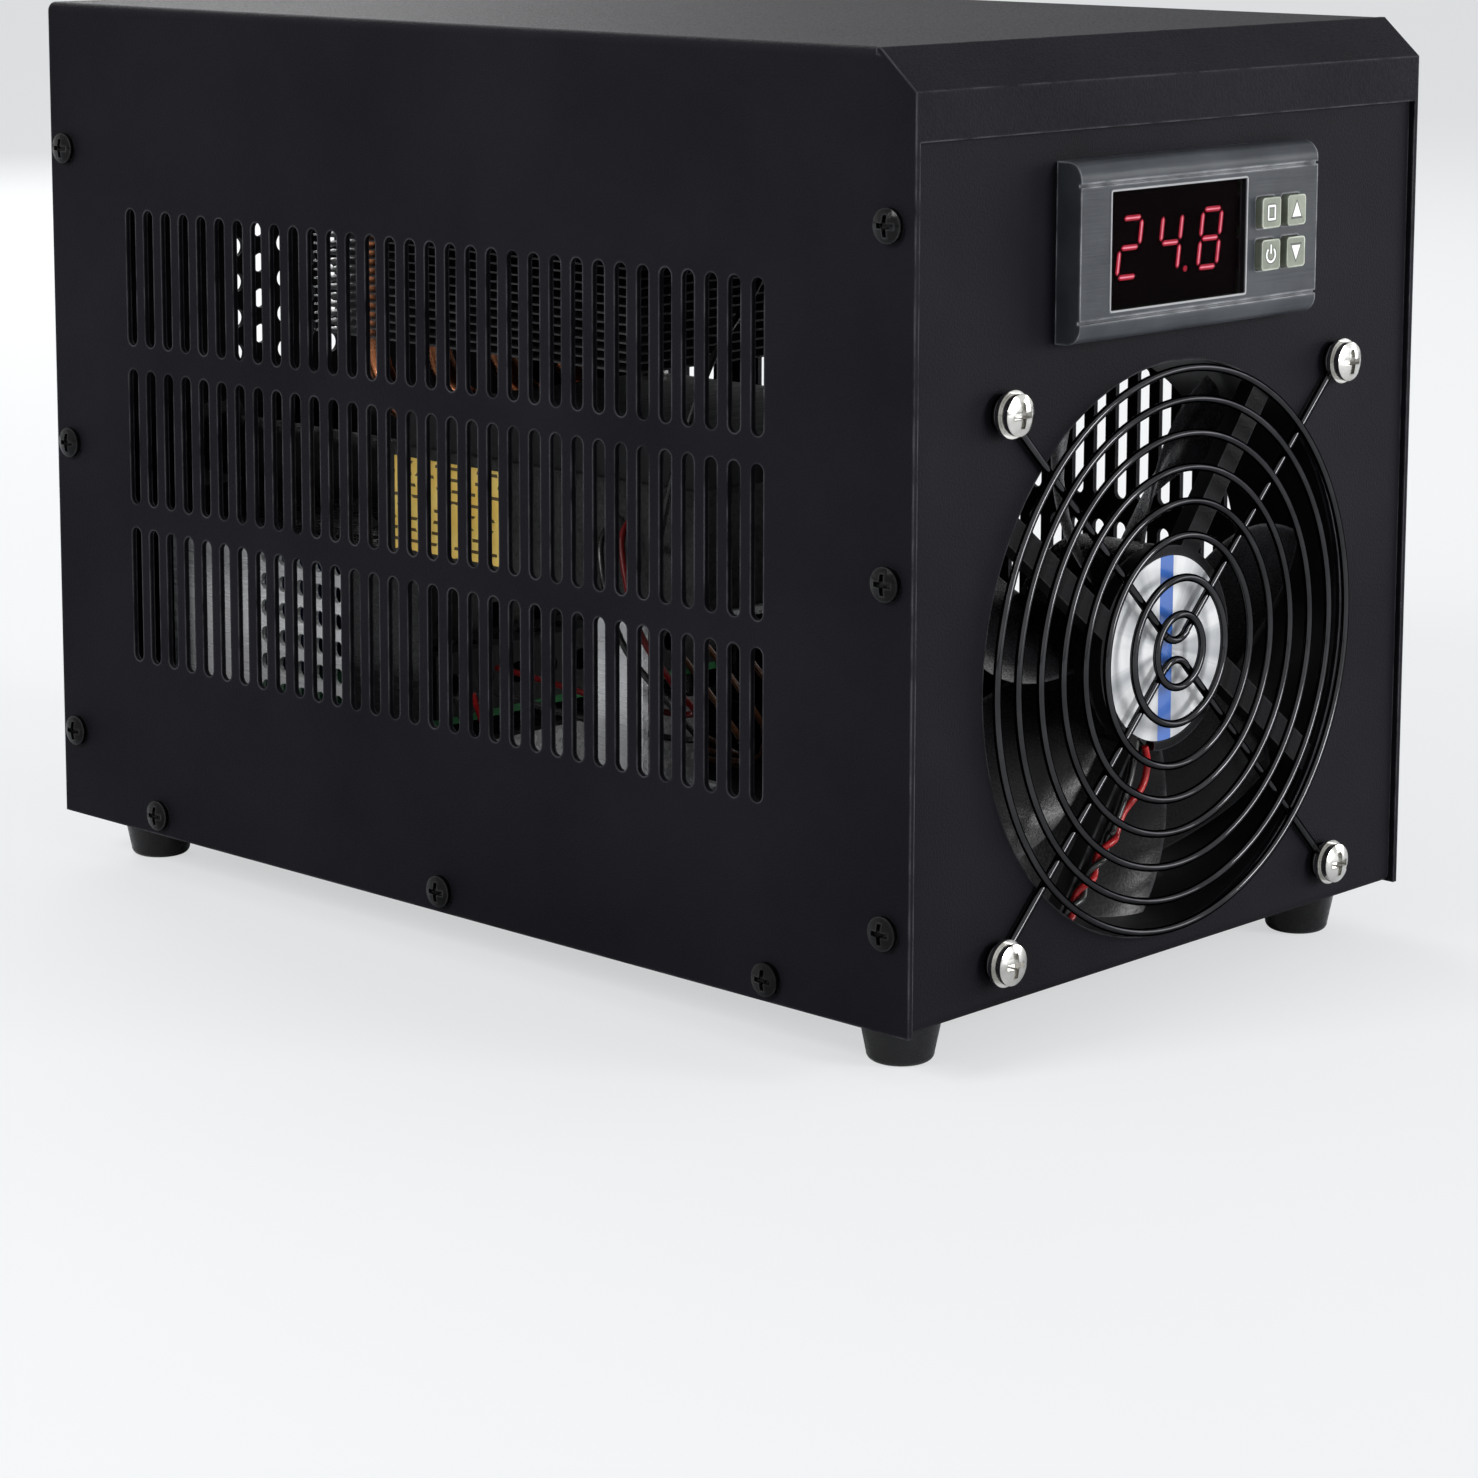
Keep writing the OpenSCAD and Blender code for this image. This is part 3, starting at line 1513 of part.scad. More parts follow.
// Top-hat rails that stand on the floor of the chassis
module power_supply_rails() {
  color([0.6, 0.6, 0.62])
    placed()
      for (share = rail_ys_share)
        along_x(psu_x, psu_w)
          translate([psu_y + share * psu_len, sheet_t])
            polygon([
              [-rail_foot, 0], [sheet_t, 0], [sheet_t, rail_h - sheet_t],
              [rail_w - sheet_t, rail_h - sheet_t], [rail_w - sheet_t, 0], [rail_w + rail_foot, 0],
              [rail_w + rail_foot, sheet_t], [rail_w, sheet_t], [rail_w, rail_h], [0, rail_h],
              [0, sheet_t], [-rail_foot, sheet_t]]);
}

// Cooler

module clamp_places() {
  for (x = [box_x + clamp_inset, box_x + box_w - clamp_inset - sink_margin],
      y = [box_y + sink_margin + clamp_inset, box_y + box_len - sink_margin - clamp_inset])
    translate([x + sink_margin / 2, y, 0])
      children();
}

module cooler_bracket() {
  x = box_x - bracket_margin;
  y = box_y - bracket_margin;
  color([0.75, 0.76, 0.78])
    placed()
      difference() {
        union() {
          span([x, y, bracket_z], [box_x + box_w + bracket_margin, box_y + box_len + bracket_margin, box_z]);
          for (side = [1, -1])
            translate([box_mid_x - side * (box_w / 2 + bracket_margin), y + bracket_leg_inset, sheet_t])
              mirror([side < 0 ? 1 : 0, 0, 0]) {
                cube([bracket_t, bracket_leg_w, box_z - sheet_t]);
                cube([bracket_foot, bracket_leg_w, bracket_t]);
              }
        }
        clamp_places()
          translate([0, 0, bracket_z - over])
            cylinder(r = clamp_screw_r + screw_slip, h = bracket_t + 2 * over);
      }
}

module cold_box() {
  cavity_low = [box_x + foam_t, box_y + foam_t, block_z];
  cavity_high = [box_x + box_w - foam_t, box_y + box_len - foam_t, sink_z + over];
  color([0.04, 0.04, 0.04])
    placed()
      difference() {
        span([box_x, box_y, box_z], [box_x + box_w, box_y + box_len, sink_z]);
        span(cavity_low, cavity_high);
        for (x = port_xs)
          translate([x, box_y + box_len - foam_t - over, port_z])
            rod_y(fitting_r + foam_slip, foam_t + 2 * over);
        clamp_places()
          translate([0, 0, box_z - over])
            cylinder(r = clamp_screw_r + screw_slip, h = box_h + 2 * over);
      }
}

module cold_box_label() {
  color([0.85, 0.7, 0.1])
    placed()
      span([box_x - label_t, box_y + box_len - label_rear - label_w, box_z + (box_h - label_h) / 2],
        [box_x, box_y + box_len - label_rear, box_z + (box_h + label_h) / 2]);
}

module water_block() {
  low = [box_x + foam_t + block_slip, box_y + foam_t + block_slip, block_z];
  high = [box_x + box_w - foam_t - block_slip, low[1] + block_len, block_z + block_h];
  color([0.75, 0.76, 0.78])
    placed()
      difference() {
        union() {
          span(low, high);
          for (x = port_xs)
            translate([x, high[1] - over, port_z])
              rod_y(fitting_r, port_end - high[1] + over);
        }
        for (x = port_xs)
          translate([x, low[1] + foam_t, port_z])
            rod_y(tail_bore_r, port_end);
        translate([port_xs[0], low[1] + foam_t + tail_bore_r, port_z])
          rod_x(cross_bore_r, hose_pitch);
      }
}

module peltier_modules() {
  mid_y = box_y + box_len / 2;
  color([0.9, 0.9, 0.88])
    placed()
      for (y = [mid_y - module_gap / 2 - module_len, mid_y + module_gap / 2])
        span([box_mid_x - module_w / 2, y, block_z + block_h], [box_mid_x + module_w / 2, y + module_len, sink_z]);
}

module peltier_lead_red() {
  color([0.75, 0.08, 0.08])
    placed()
      lead(peltier_red_route, lead_r);
}

module peltier_lead_black() {
  color([0.05, 0.05, 0.05])
    placed()
      lead(peltier_black_route, lead_r);
}

module heat_sink_base() {
  x = box_mid_x - sink_base_w / 2;
  color([0.07, 0.07, 0.08])
    placed()
      difference() {
        span([x, sink_base_y, sink_z], [x + sink_base_w, sink_base_y + sink_base_len, sink_z + sink_base_t]);
        for (i = [0:pipe_count - 1])
          translate([pipe_x + i * pipe_pitch, sink_base_y + pipe_start, pipe_z])
            rod_y(pipe_r + pipe_slip, sink_base_len);
        clamp_places()
          translate([0, 0, sink_z - over])
            cylinder(r = clamp_screw_r + screw_slip, h = sink_base_t + 2 * over);
      }
}

// Each pipe lies in the base, leaves it at the rear and turns up through the fins
module heat_pipes() {
  start = sink_base_y + pipe_start + pipe_slip;
  turn = pipe_turn_y - pipe_bend_r;
  color([0.75, 0.42, 0.28])
    placed()
      for (i = [0:pipe_count - 1])
        translate([pipe_x + i * pipe_pitch, 0, 0]) {
          translate([0, start, pipe_z])
            rod_y(pipe_r, turn - start);
          translate([0, turn, pipe_z + pipe_bend_r])
            rotate([0, 90, 0])
              rotate_extrude(angle = 90)
                translate([pipe_bend_r, 0])
                  circle(pipe_r);
          translate([0, pipe_turn_y, pipe_z + pipe_bend_r])
            cylinder(r = pipe_r, h = fin_top + pipe_top_extra - pipe_z - pipe_bend_r);
        }
}

module heat_sink_fins() {
  color([0.85, 0.86, 0.88])
    placed()
      for (k = [0:fin_count - 1])
        translate([0, 0, fin_z + k * fin_pitch])
          linear_extrude(fin_t)
            difference() {
              translate([fin_x, fin_y])
                square([fin_w, fin_len]);
              for (i = [0:pipe_count - 1])
                translate([pipe_x + i * pipe_pitch, pipe_turn_y])
                  circle(pipe_r + pipe_slip);
            }
}

module cooler_screws() {
  color([0.7, 0.7, 0.72])
    placed()
      clamp_places()
        translate([0, 0, sink_z + sink_base_t])
          pan_screw(clamp_screw_r, sink_base_t + box_h + bracket_t, clamp_head_r, clamp_head_h);
}

// Water

module hose_tail(x) {
  color([0.1, 0.1, 0.1])
    placed()
      translate([x, 0, port_z])
        difference() {
          union() {
            translate([0, tail_inner_y, 0])
              rod_y(fitting_r, tail_inner_len);
            translate([0, rear_back - hex_t, 0])
              rod_y(tail_thread_r, hex_t + sheet_t);
            translate([0, rear_face, 0])
              rotate([-90, 0, 0])
                cylinder(r = hex_r, h = hex_t, $fn = 6);
            translate([0, rear_face + hex_t, 0])
              rod_y(tail_r, tail_land);
            for (i = [0:ridge_count - 1])
              translate([0, rear_face + hex_t + tail_land + i * ridge_len, 0])
                rotate([-90, 0, 0])
                  cylinder(r1 = tail_r, r2 = tail_r - ridge_neck, h = ridge_len);
          }
          translate([0, tail_inner_y - over, 0])
            rod_y(tail_bore_r, tail_end - tail_inner_y + 2 * over);
        }
}

module water_inlet_tail() {
  hose_tail(port_xs[0]);
}

module water_outlet_tail() {
  hose_tail(port_xs[1]);
}

module tail_nuts() {
  color([0.12, 0.12, 0.12])
    placed()
      for (x = port_xs)
        translate([x, rear_back - hex_t, port_z])
          rotate([-90, 0, 0])
            hex_nut(hex_r, hex_t, tail_thread_r + nut_slip);
}

module water_hoses() {
  color([0.05, 0.05, 0.05])
    placed()
      for (x = port_xs)
        translate([x, hose_start, port_z])
          difference() {
            rod_y(hose_r, hose_end - hose_start);
            translate([0, -over, 0])
              rod_y(fitting_r + hose_slip, hose_end - hose_start + 2 * over);
          }
}

module temperature_probe() {
  color([0.08, 0.08, 0.08])
    placed()
      lead(probe_route, lead_r);
}

// Mains inlet

module socket_2d() {
  w = socket_w / 2;
  h = socket_h / 2;
  polygon([[-w, -h], [w, -h], [w, h - socket_cut], [w - socket_cut, h], [socket_cut - w, h], [-w, h - socket_cut]]);
}

module mains_inlet() {
  color([0.06, 0.06, 0.06])
    placed()
      translate([inlet_x, 0, inlet_z])
        difference() {
          union() {
            along_y(rear_face, inlet_t)
              rounded_rect([-inlet_w / 2, -inlet_h / 2], [inlet_w / 2, inlet_h / 2], bend_r);
            span([-inlet_body_w / 2, inlet_back, -inlet_body_h / 2],
              [inlet_body_w / 2, rear_face, inlet_body_h / 2]);
          }
          translate([0, 0, -socket_drop])
            along_y(rear_face + inlet_t - socket_d, socket_d + over)
              socket_2d();
          for (i = [-1:1])
            translate([i * pin_step, 0, -socket_drop + (i == 0 ? pin_offset : -pin_offset) / 2])
              span([-pin_t / 2 - press_slip, inlet_back - over, -pin_w / 2 - press_slip],
                [pin_t / 2 + press_slip, rear_face, pin_w / 2 + press_slip]);
          translate([0, 0, drawer_rise])
            span([-drawer_w / 2 - drawer_slip, rear_face + inlet_t - drawer_d - drawer_slip, -drawer_h / 2 - drawer_slip],
              [drawer_w / 2 + drawer_slip, rear_face + inlet_t + over, drawer_h / 2 + drawer_slip]);
          translate([0, 0, rocker_rise])
            span([-rocker_w / 2 - rocker_side_slip, rear_face + inlet_t - rocker_d - rocker_slip, -rocker_h / 2 - rocker_slip],
              [rocker_w / 2 + rocker_side_slip, rear_face + inlet_t + over, rocker_h / 2 + rocker_slip]);
          translate([-rocker_w / 2 - rocker_side_slip - rocker_pivot_len, rear_face + inlet_t - rocker_pivot_depth, rocker_rise])
            rod_x(rocker_pivot_r + rocker_pivot_slip, rocker_w + 2 * rocker_side_slip + 2 * rocker_pivot_len);
        }
}

module mains_pins() {
  color([0.8, 0.78, 0.7])
    placed()
      translate([inlet_x, 0, inlet_z])
        for (i = [-1:1])
          translate([i * pin_step, 0, -socket_drop + (i == 0 ? pin_offset : -pin_offset) / 2])
            span([-pin_t / 2, inlet_back - pin_tab, -pin_w / 2],
              [pin_t / 2, rear_face + inlet_t - socket_d + pin_len, pin_w / 2]);
}

module mains_leads() {
  color([0.35, 0.2, 0.12])
    placed()
      for (route = mains_routes)
        lead(route, lead_r);
}

module fuse_drawer() {
  y = rear_face + inlet_t;
  color([0.1, 0.1, 0.1])
    placed()
      translate([inlet_x, 0, inlet_z + drawer_rise])
        difference() {
          union() {
            span([-drawer_w / 2, y - drawer_d, -drawer_h / 2], [drawer_w / 2, y, drawer_h / 2]);
            span([-drawer_grip_w / 2, y, -drawer_h / 2], [drawer_grip_w / 2, y + drawer_lip, 0]);
          }
          span([-drawer_w / 2 + drawer_wall, y - drawer_d + drawer_wall, -drawer_h / 2 + drawer_wall],
            [drawer_w / 2 - drawer_wall, y - drawer_face_t, drawer_h / 2 + over]);
        }
}

// Rocker: a bar with two faces that meet in a shallow valley, tilted to one side at rest
module rocker_switch() {
  h = rocker_h / 2;
  color([0.5, 0.04, 0.04])
    placed()
      translate([inlet_x, rear_face + inlet_t - rocker_pivot_depth, inlet_z + rocker_rise])
        rotate([rocker_tilt, 0, 0]) {
          along_x(-rocker_w / 2, rocker_w)
            polygon([[rocker_front, -h], [rocker_front - rocker_dish, 0], [rocker_front, h],
              [-h * rocker_back_share, h], [-h * rocker_keel_share, 0], [-h * rocker_back_share, -h]]);
          translate([-rocker_w / 2 - rocker_side_slip - rocker_pivot_len / 2, 0, 0])
            rod_x(rocker_pivot_r, rocker_w + 2 * rocker_side_slip + rocker_pivot_len);
        }
}

base_chassis();
top_cover();
cover_screws();
rubber_feet();
foot_fasteners();
fan_frame();
fan_hub_label();
fan_circuit_board();
fan_stator_core();
fan_coils();
fan_bearings();
fan_guard();
fan_guard_screws();
fan_guard_nuts();
fan_lead_red();
fan_lead_black();
fan_rotor();
fan_magnet();
fan_shaft();
controller_bezel();
controller_case();
controller_window();
display_module();
display_digits();
controller_boards();
button_switches();
controller_clips();
controller_terminals();
set_button();
power_button();
up_button();
down_button();
power_supply_base();
power_supply_cover();
power_supply_board();
power_supply_transformer();
power_supply_capacitors();
power_supply_terminals();
power_supply_rails();
cooler_bracket();
cold_box();
cold_box_label();
water_block();
peltier_modules();
peltier_lead_red();
peltier_lead_black();
heat_sink_base();
heat_pipes();
heat_sink_fins();
cooler_screws();
water_inlet_tail();
water_outlet_tail();
tail_nuts();
water_hoses();
temperature_probe();
mains_inlet();
mains_pins();
mains_leads();
fuse_drawer();
rocker_switch();
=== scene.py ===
# %% [markdown]
# # Aquarium chiller, dressed for the studio
# The CAD model gives every solid its place. This script loads it as a fixed frame, gives each
# piece the finish of the real one, and adds the fine pieces that solids leave plain.

# %% Load the frame
import math

import bmesh
import bpy
import numpy as np
from mathutils import Matrix, Vector


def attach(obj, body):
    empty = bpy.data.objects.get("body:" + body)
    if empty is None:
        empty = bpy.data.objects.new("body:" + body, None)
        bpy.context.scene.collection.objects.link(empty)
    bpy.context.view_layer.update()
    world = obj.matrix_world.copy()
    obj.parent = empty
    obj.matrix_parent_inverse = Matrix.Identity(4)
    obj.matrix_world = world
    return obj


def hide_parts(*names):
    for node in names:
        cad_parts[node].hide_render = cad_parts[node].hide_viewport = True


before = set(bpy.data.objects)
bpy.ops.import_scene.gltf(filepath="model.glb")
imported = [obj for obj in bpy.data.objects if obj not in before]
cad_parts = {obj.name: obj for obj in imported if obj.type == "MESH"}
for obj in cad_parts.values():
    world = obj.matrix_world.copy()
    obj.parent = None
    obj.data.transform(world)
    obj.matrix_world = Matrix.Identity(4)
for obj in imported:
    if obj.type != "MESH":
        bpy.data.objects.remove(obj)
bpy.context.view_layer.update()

# %% [markdown]
# ## One ruler for everything
# The drawing measures millimetres from the front lip of the case, and the frame measures metres
# from the middle of the footprint. One function turns the first into the second, so every number
# below can be read off the drawing.

# %% Ruler
MM = 0.001
MIDDLE_Y = 138.35
FOOT_H = 10.0
FAN_Z = 62.0
CONTROLLER_Z = 143.2
FULL_TURN = 2 * np.pi


def place(points):
    """Drawing millimetres to frame metres: shift by the middle of the footprint and the feet."""
    return (np.asarray(points, float) + np.array([0.0, -MIDDLE_Y, FOOT_H])) * MM


print("fan axis at", place([0, 0, FAN_Z]))

# %% [markdown]
# ## The camera
# The photograph was measured first: straight edges and screw holes of known size fix where the
# camera stood. Its picture centre lies above the middle of the frame, so the lens is shifted
# down a little, as a view camera would be, and the upright edges stay where they belong.

# %% Camera
PHOTO_SIDE = 1478.0
FOCAL_PIXELS = 4052.19
PICTURE_CENTRE = (733.43, 441.58)
SENSOR_MM = 36.0
CAMERA_PLACE = [-0.626658, -0.613343, 0.2342]
camera_right = np.array([0.68878512, -0.72496186, 0.00231732])
camera_down = np.array([-0.10927881, -0.1069845, -0.98823705])
camera_forward = np.array([0.71668208, 0.68042973, -0.1529123])
camera_data = bpy.data.cameras.new("photo_camera")
camera_data.sensor_width = SENSOR_MM
camera_data.lens = FOCAL_PIXELS * SENSOR_MM / PHOTO_SIDE
camera_data.shift_x = (PHOTO_SIDE / 2 - PICTURE_CENTRE[0]) / PHOTO_SIDE
camera_data.shift_y = (PICTURE_CENTRE[1] - PHOTO_SIDE / 2) / PHOTO_SIDE
camera_data.clip_start = 0.01
camera = bpy.data.objects.new("photo_camera", camera_data)
bpy.context.scene.collection.objects.link(camera)
turn = np.eye(4)
turn[:3, 0] = camera_right
turn[:3, 1] = -camera_down
turn[:3, 2] = -camera_forward
turn[:3, 3] = CAMERA_PLACE
camera.matrix_world = Matrix(turn.tolist())
bpy.context.scene.camera = camera
print(f"lens {camera_data.lens:.2f} mm, shift {camera_data.shift_x:.4f} {camera_data.shift_y:.4f}")

# %% [markdown]
# ## Surfaces from two parameters
# Every new piece is a sheet of points with rows and columns. One helper joins neighbouring rows
# and columns with four-sided faces. Rows that shrink to a point close a shape, and doubles are
# merged there so that no seam stays open.

# %% Surface helpers
MERGE_DISTANCE = 2e-7
OFF_EVERY_WIRE = [0.35, -0.21, 0.91]


def surface(name, points, sharp=40.0):
    """Mesh over a grid of points: face (i, j) joins rows i, i + 1 and columns j, j + 1. The last
    column joins the first, and an edge bent by more than sharp degrees stays sharp."""
    points = np.asarray(points, float)
    sheets = points.reshape((-1,) + points.shape[-3:])
    count, rows, cols = sheets.shape[:3]
    i, j = np.meshgrid(np.arange(rows - 1), np.arange(cols), indexing="ij")
    k = (j + 1) % cols
    quads = np.stack([i * cols + j, (i + 1) * cols + j, (i + 1) * cols + k, i * cols + k], -1)
    quads = quads.reshape(-1, 4)
    faces = (np.arange(count)[:, None, None] * rows * cols + quads[None]).reshape(-1, 4)
    mesh = bpy.data.meshes.new(name)
    mesh.from_pydata(sheets.reshape(-1, 3).tolist(), [], faces.tolist())
    work = bmesh.new()
    work.from_mesh(mesh)
    bmesh.ops.remove_doubles(work, verts=work.verts, dist=MERGE_DISTANCE)
    bmesh.ops.recalc_face_normals(work, faces=work.faces)
    work.to_mesh(mesh)
    work.free()
    mesh.polygons.foreach_set("use_smooth", np.ones(len(mesh.polygons), bool))
    mesh.set_sharp_from_angle(angle=math.radians(sharp))
    piece = bpy.data.objects.new(name, mesh)
    bpy.context.scene.collection.objects.link(piece)
    return piece


def smooth_route(points, steps=8):
    """Curve through the points: on each span a cubic whose slopes come from the neighbours."""
    p = np.asarray(points, float)
    n = np.arange(len(p) - 1)
    last = len(p) - 1
    a, b, c, d = (p[k][:, None] for k in (np.maximum(n - 1, 0), n, n + 1, np.minimum(n + 2, last)))
    t = (np.arange(steps) / steps)[None, :, None]
    curve = (2 * b + (c - a) * t + (2 * a - 5 * b + 4 * c - d) * t**2
             + (3 * b - a - 3 * c + d) * t**3) / 2
    return np.vstack([curve.reshape(-1, 3), p[-1:]])


def tube(route, radius, around=14):
    """A circle carried along the route: route + radius (cos a side + sin a up), closed at both ends."""
    route = np.vstack([route[:1], route, route[-1:]])
    radii = np.full(len(route), float(radius))
    radii[[0, -1]] = 0
    along = np.gradient(route, axis=0)
    along[0], along[-1] = route[2] - route[1], route[-2] - route[-3]
    along /= np.linalg.norm(along, axis=1, keepdims=True)
    side = np.cross(along, OFF_EVERY_WIRE)
    side /= np.linalg.norm(side, axis=1, keepdims=True)
    up = np.cross(side, along)
    a = np.linspace(0, FULL_TURN, around, endpoint=False)[None, :, None]
    ring = np.cos(a) * side[:, None] + np.sin(a) * up[:, None]
    return route[:, None] + radii[:, None, None] * ring


print("surface helpers ready")

# %% [markdown]
# ## The studio
# A wide pale floor and an even, bright room. The object is black, so what shows its shape is
# what it mirrors: a broad soft lamp on the front right makes the front lighter than the side, as
# in the photograph, and a smaller one on the left draws the bent edges.

# %% Floor
FLOOR_RADIUS = 9.0
PAPER_WHITE = (0.93, 0.94, 0.95, 1)
PAPER_SHARE = 0.62
rings = np.linspace(0, FLOOR_RADIUS, 13)
spokes = np.linspace(0, FULL_TURN, 64, endpoint=False)
radius, angle = np.meshgrid(rings, spokes, indexing="ij")
floor_points = np.stack([radius * np.cos(angle), radius * np.sin(angle), np.zeros_like(radius)], -1)
floor = surface("floor", floor_points)
floor_paint = bpy.data.materials.new("floor_paint")
floor_paint.use_nodes = True
tree = floor_paint.node_tree
floor_shader = tree.nodes["Principled BSDF"]
floor_shader.inputs["Base Color"].default_value = (0.84, 0.85, 0.86, 1)
floor_shader.inputs["Roughness"].default_value = 0.9
floor_shader.inputs["Specular IOR Level"].default_value = 0.1
paper = tree.nodes.new("ShaderNodeEmission")
paper.inputs["Color"].default_value = PAPER_WHITE
rays = tree.nodes.new("ShaderNodeLightPath")
share = tree.nodes.new("ShaderNodeMath")
share.operation = "MULTIPLY"
share.inputs[1].default_value = PAPER_SHARE
mix = tree.nodes.new("ShaderNodeMixShader")
tree.links.new(rays.outputs["Is Camera Ray"], share.inputs[0])
tree.links.new(share.outputs[0], mix.inputs[0])
tree.links.new(floor_shader.outputs[0], mix.inputs[1])
tree.links.new(paper.outputs[0], mix.inputs[2])
tree.links.new(mix.outputs[0], tree.nodes["Material Output"].inputs["Surface"])
floor.data.materials.append(floor_paint)
print("floor radius", FLOOR_RADIUS, "m")

# %% [markdown]
# The room is one even, pale light from all sides, weak enough for the lamps to shape the object.
# Eye, mirror and glass see a white room behind it. A long lamp leans at 45 degrees where the
# slanting wires of the guard mirror it, and three softer ones keep the other sides readable.

# %% Room light and lamps
ROOM_STRENGTH = 0.42
LAMP_AIM = Vector((0, 0, 0.1))
LAMPS = {  # place, width and height in metres, power in watts, lean in degrees
    "front_lamp": ((0.52, -1.55, 0.44), 0.95, 0.3, 20, 45),
    "right_lamp": ((1.4, -0.9, 0.3), 0.8, 0.5, 6, 0),
    "left_lamp": ((-1.5, 0.2, 1.0), 0.6, 0.6, 18, 0),
    "back_lamp": ((0.7, 1.5, 0.8), 1.0, 0.8, 14, 0),
}
room = bpy.data.worlds.new("studio_room")
bpy.context.scene.world = room
room.use_nodes = True
tree = room.node_tree
tree.nodes.clear()
seen = tree.nodes.new("ShaderNodeBackground")
seen.inputs["Color"].default_value = PAPER_WHITE
lit = tree.nodes.new("ShaderNodeBackground")
lit.inputs["Color"].default_value = (0.92, 0.96, 1.0, 1)
lit.inputs["Strength"].default_value = ROOM_STRENGTH
rays = tree.nodes.new("ShaderNodeLightPath")
seeing = rays.outputs["Is Camera Ray"]
for kind in ("Is Glossy Ray", "Is Transmission Ray"):
    either = tree.nodes.new("ShaderNodeMath")
    either.operation = "MAXIMUM"
    tree.links.new(seeing, either.inputs[0])
    tree.links.new(rays.outputs[kind], either.inputs[1])
    seeing = either.outputs[0]
choose = tree.nodes.new("ShaderNodeMixShader")
output = tree.nodes.new("ShaderNodeOutputWorld")
tree.links.new(seeing, choose.inputs[0])
tree.links.new(lit.outputs[0], choose.inputs[1])
tree.links.new(seen.outputs[0], choose.inputs[2])
tree.links.new(choose.outputs[0], output.inputs["Surface"])


def lamp(name, spot, width, height, power, lean):
    """A soft rectangular lamp at a point, turned to face the aim, and leaned about its own axis."""
    data = bpy.data.lights.new(name, "AREA")
    data.shape = "RECTANGLE"
    data.size, data.size_y, data.energy = width, height, power
    light = bpy.data.objects.new(name, data)
    bpy.context.scene.collection.objects.link(light)
    light.location = spot
    facing = LAMP_AIM - Vector(spot)
    light.rotation_euler = facing.to_track_quat("-Z", "Y").to_euler()
    light.rotation_euler.rotate_axis("Z", math.radians(lean))


for name, values in LAMPS.items():
    lamp(name, *values)
bpy.context.scene.view_settings.view_transform = "Standard"

# %% [markdown]
# ## Shared surface effects
# Grain, slow clouds of change, edges of wear and painted light, and drawn lines turn up on many
# finishes. Each is built once as a node group and put in a material with its own values.

# %% Group helpers
def new_group(name, inputs, outputs):
    """Starts a shader node group: inputs are (label, kind, value) and outputs (label, kind)."""
    group = bpy.data.node_groups.new(name, "ShaderNodeTree")
    for label, kind, value in inputs:
        socket = group.interface.new_socket(name=label, in_out="INPUT",
                                            socket_type="NodeSocket" + kind)
        socket.default_value = value
    for label, kind in outputs:
        group.interface.new_socket(name=label, in_out="OUTPUT", socket_type="NodeSocket" + kind)
    return group, group.nodes.new("NodeGroupInput"), group.nodes.new("NodeGroupOutput")


def node(tree, kind, links=(), **settings):
    """Adds a node, sets its properties or sockets, and links (source socket, input) pairs to it."""
    made = tree.nodes.new(kind)
    for label, value in settings.items():
        if hasattr(made, label):
            setattr(made, label, value)
        else:
            made.inputs[label.replace("_", " ")].default_value = value
    for source, target in links:
        tree.links.new(source, made.inputs[target])
    return made


print("group helpers ready")

# %% [markdown]
# Grain is the fine orange peel of powder coat and of moulded plastic: a noise about a millimetre
# across. A picture could carry it too, but noise has no seams and needs no unwrapping.

# %% Grain
grain, ins, outs = new_group("fine_grain", [("Scale", "Float", 900.0), ("Detail", "Float", 2.0)],
                             [("Height", "Float"), ("Mask", "Float")])
where = node(grain, "ShaderNodeTexCoord")
noise = node(grain, "ShaderNodeTexNoise",
             [(where.outputs["Object"], "Vector"), (ins.outputs["Scale"], "Scale"),
              (ins.outputs["Detail"], "Detail")])
speck = node(grain, "ShaderNodeMapRange", [(noise.outputs["Fac"], "Value")],
             From_Min=0.42, From_Max=0.68)
grain.links.new(noise.outputs["Fac"], outs.inputs["Height"])
grain.links.new(speck.outputs[0], outs.inputs["Mask"])
print("group:", grain.name)

# %% [markdown]
# Clouds are the slow changes that a hand, an oven or a mould leaves: a little lighter here, a
# little shinier there, centimetres across.

# %% Clouds
clouds, ins, outs = new_group("slow_clouds", [("Scale", "Float", 25.0)], [("Mask", "Float")])
where = node(clouds, "ShaderNodeTexCoord")
noise = node(clouds, "ShaderNodeTexNoise",
             [(where.outputs["Object"], "Vector"), (ins.outputs["Scale"], "Scale")],
             Detail=4.0, Roughness=0.6)
spread = node(clouds, "ShaderNodeMapRange", [(noise.outputs["Fac"], "Value")],
              From_Min=0.32, From_Max=0.68)
clouds.links.new(spread.outputs[0], outs.inputs["Mask"])
print("group:", clouds.name)
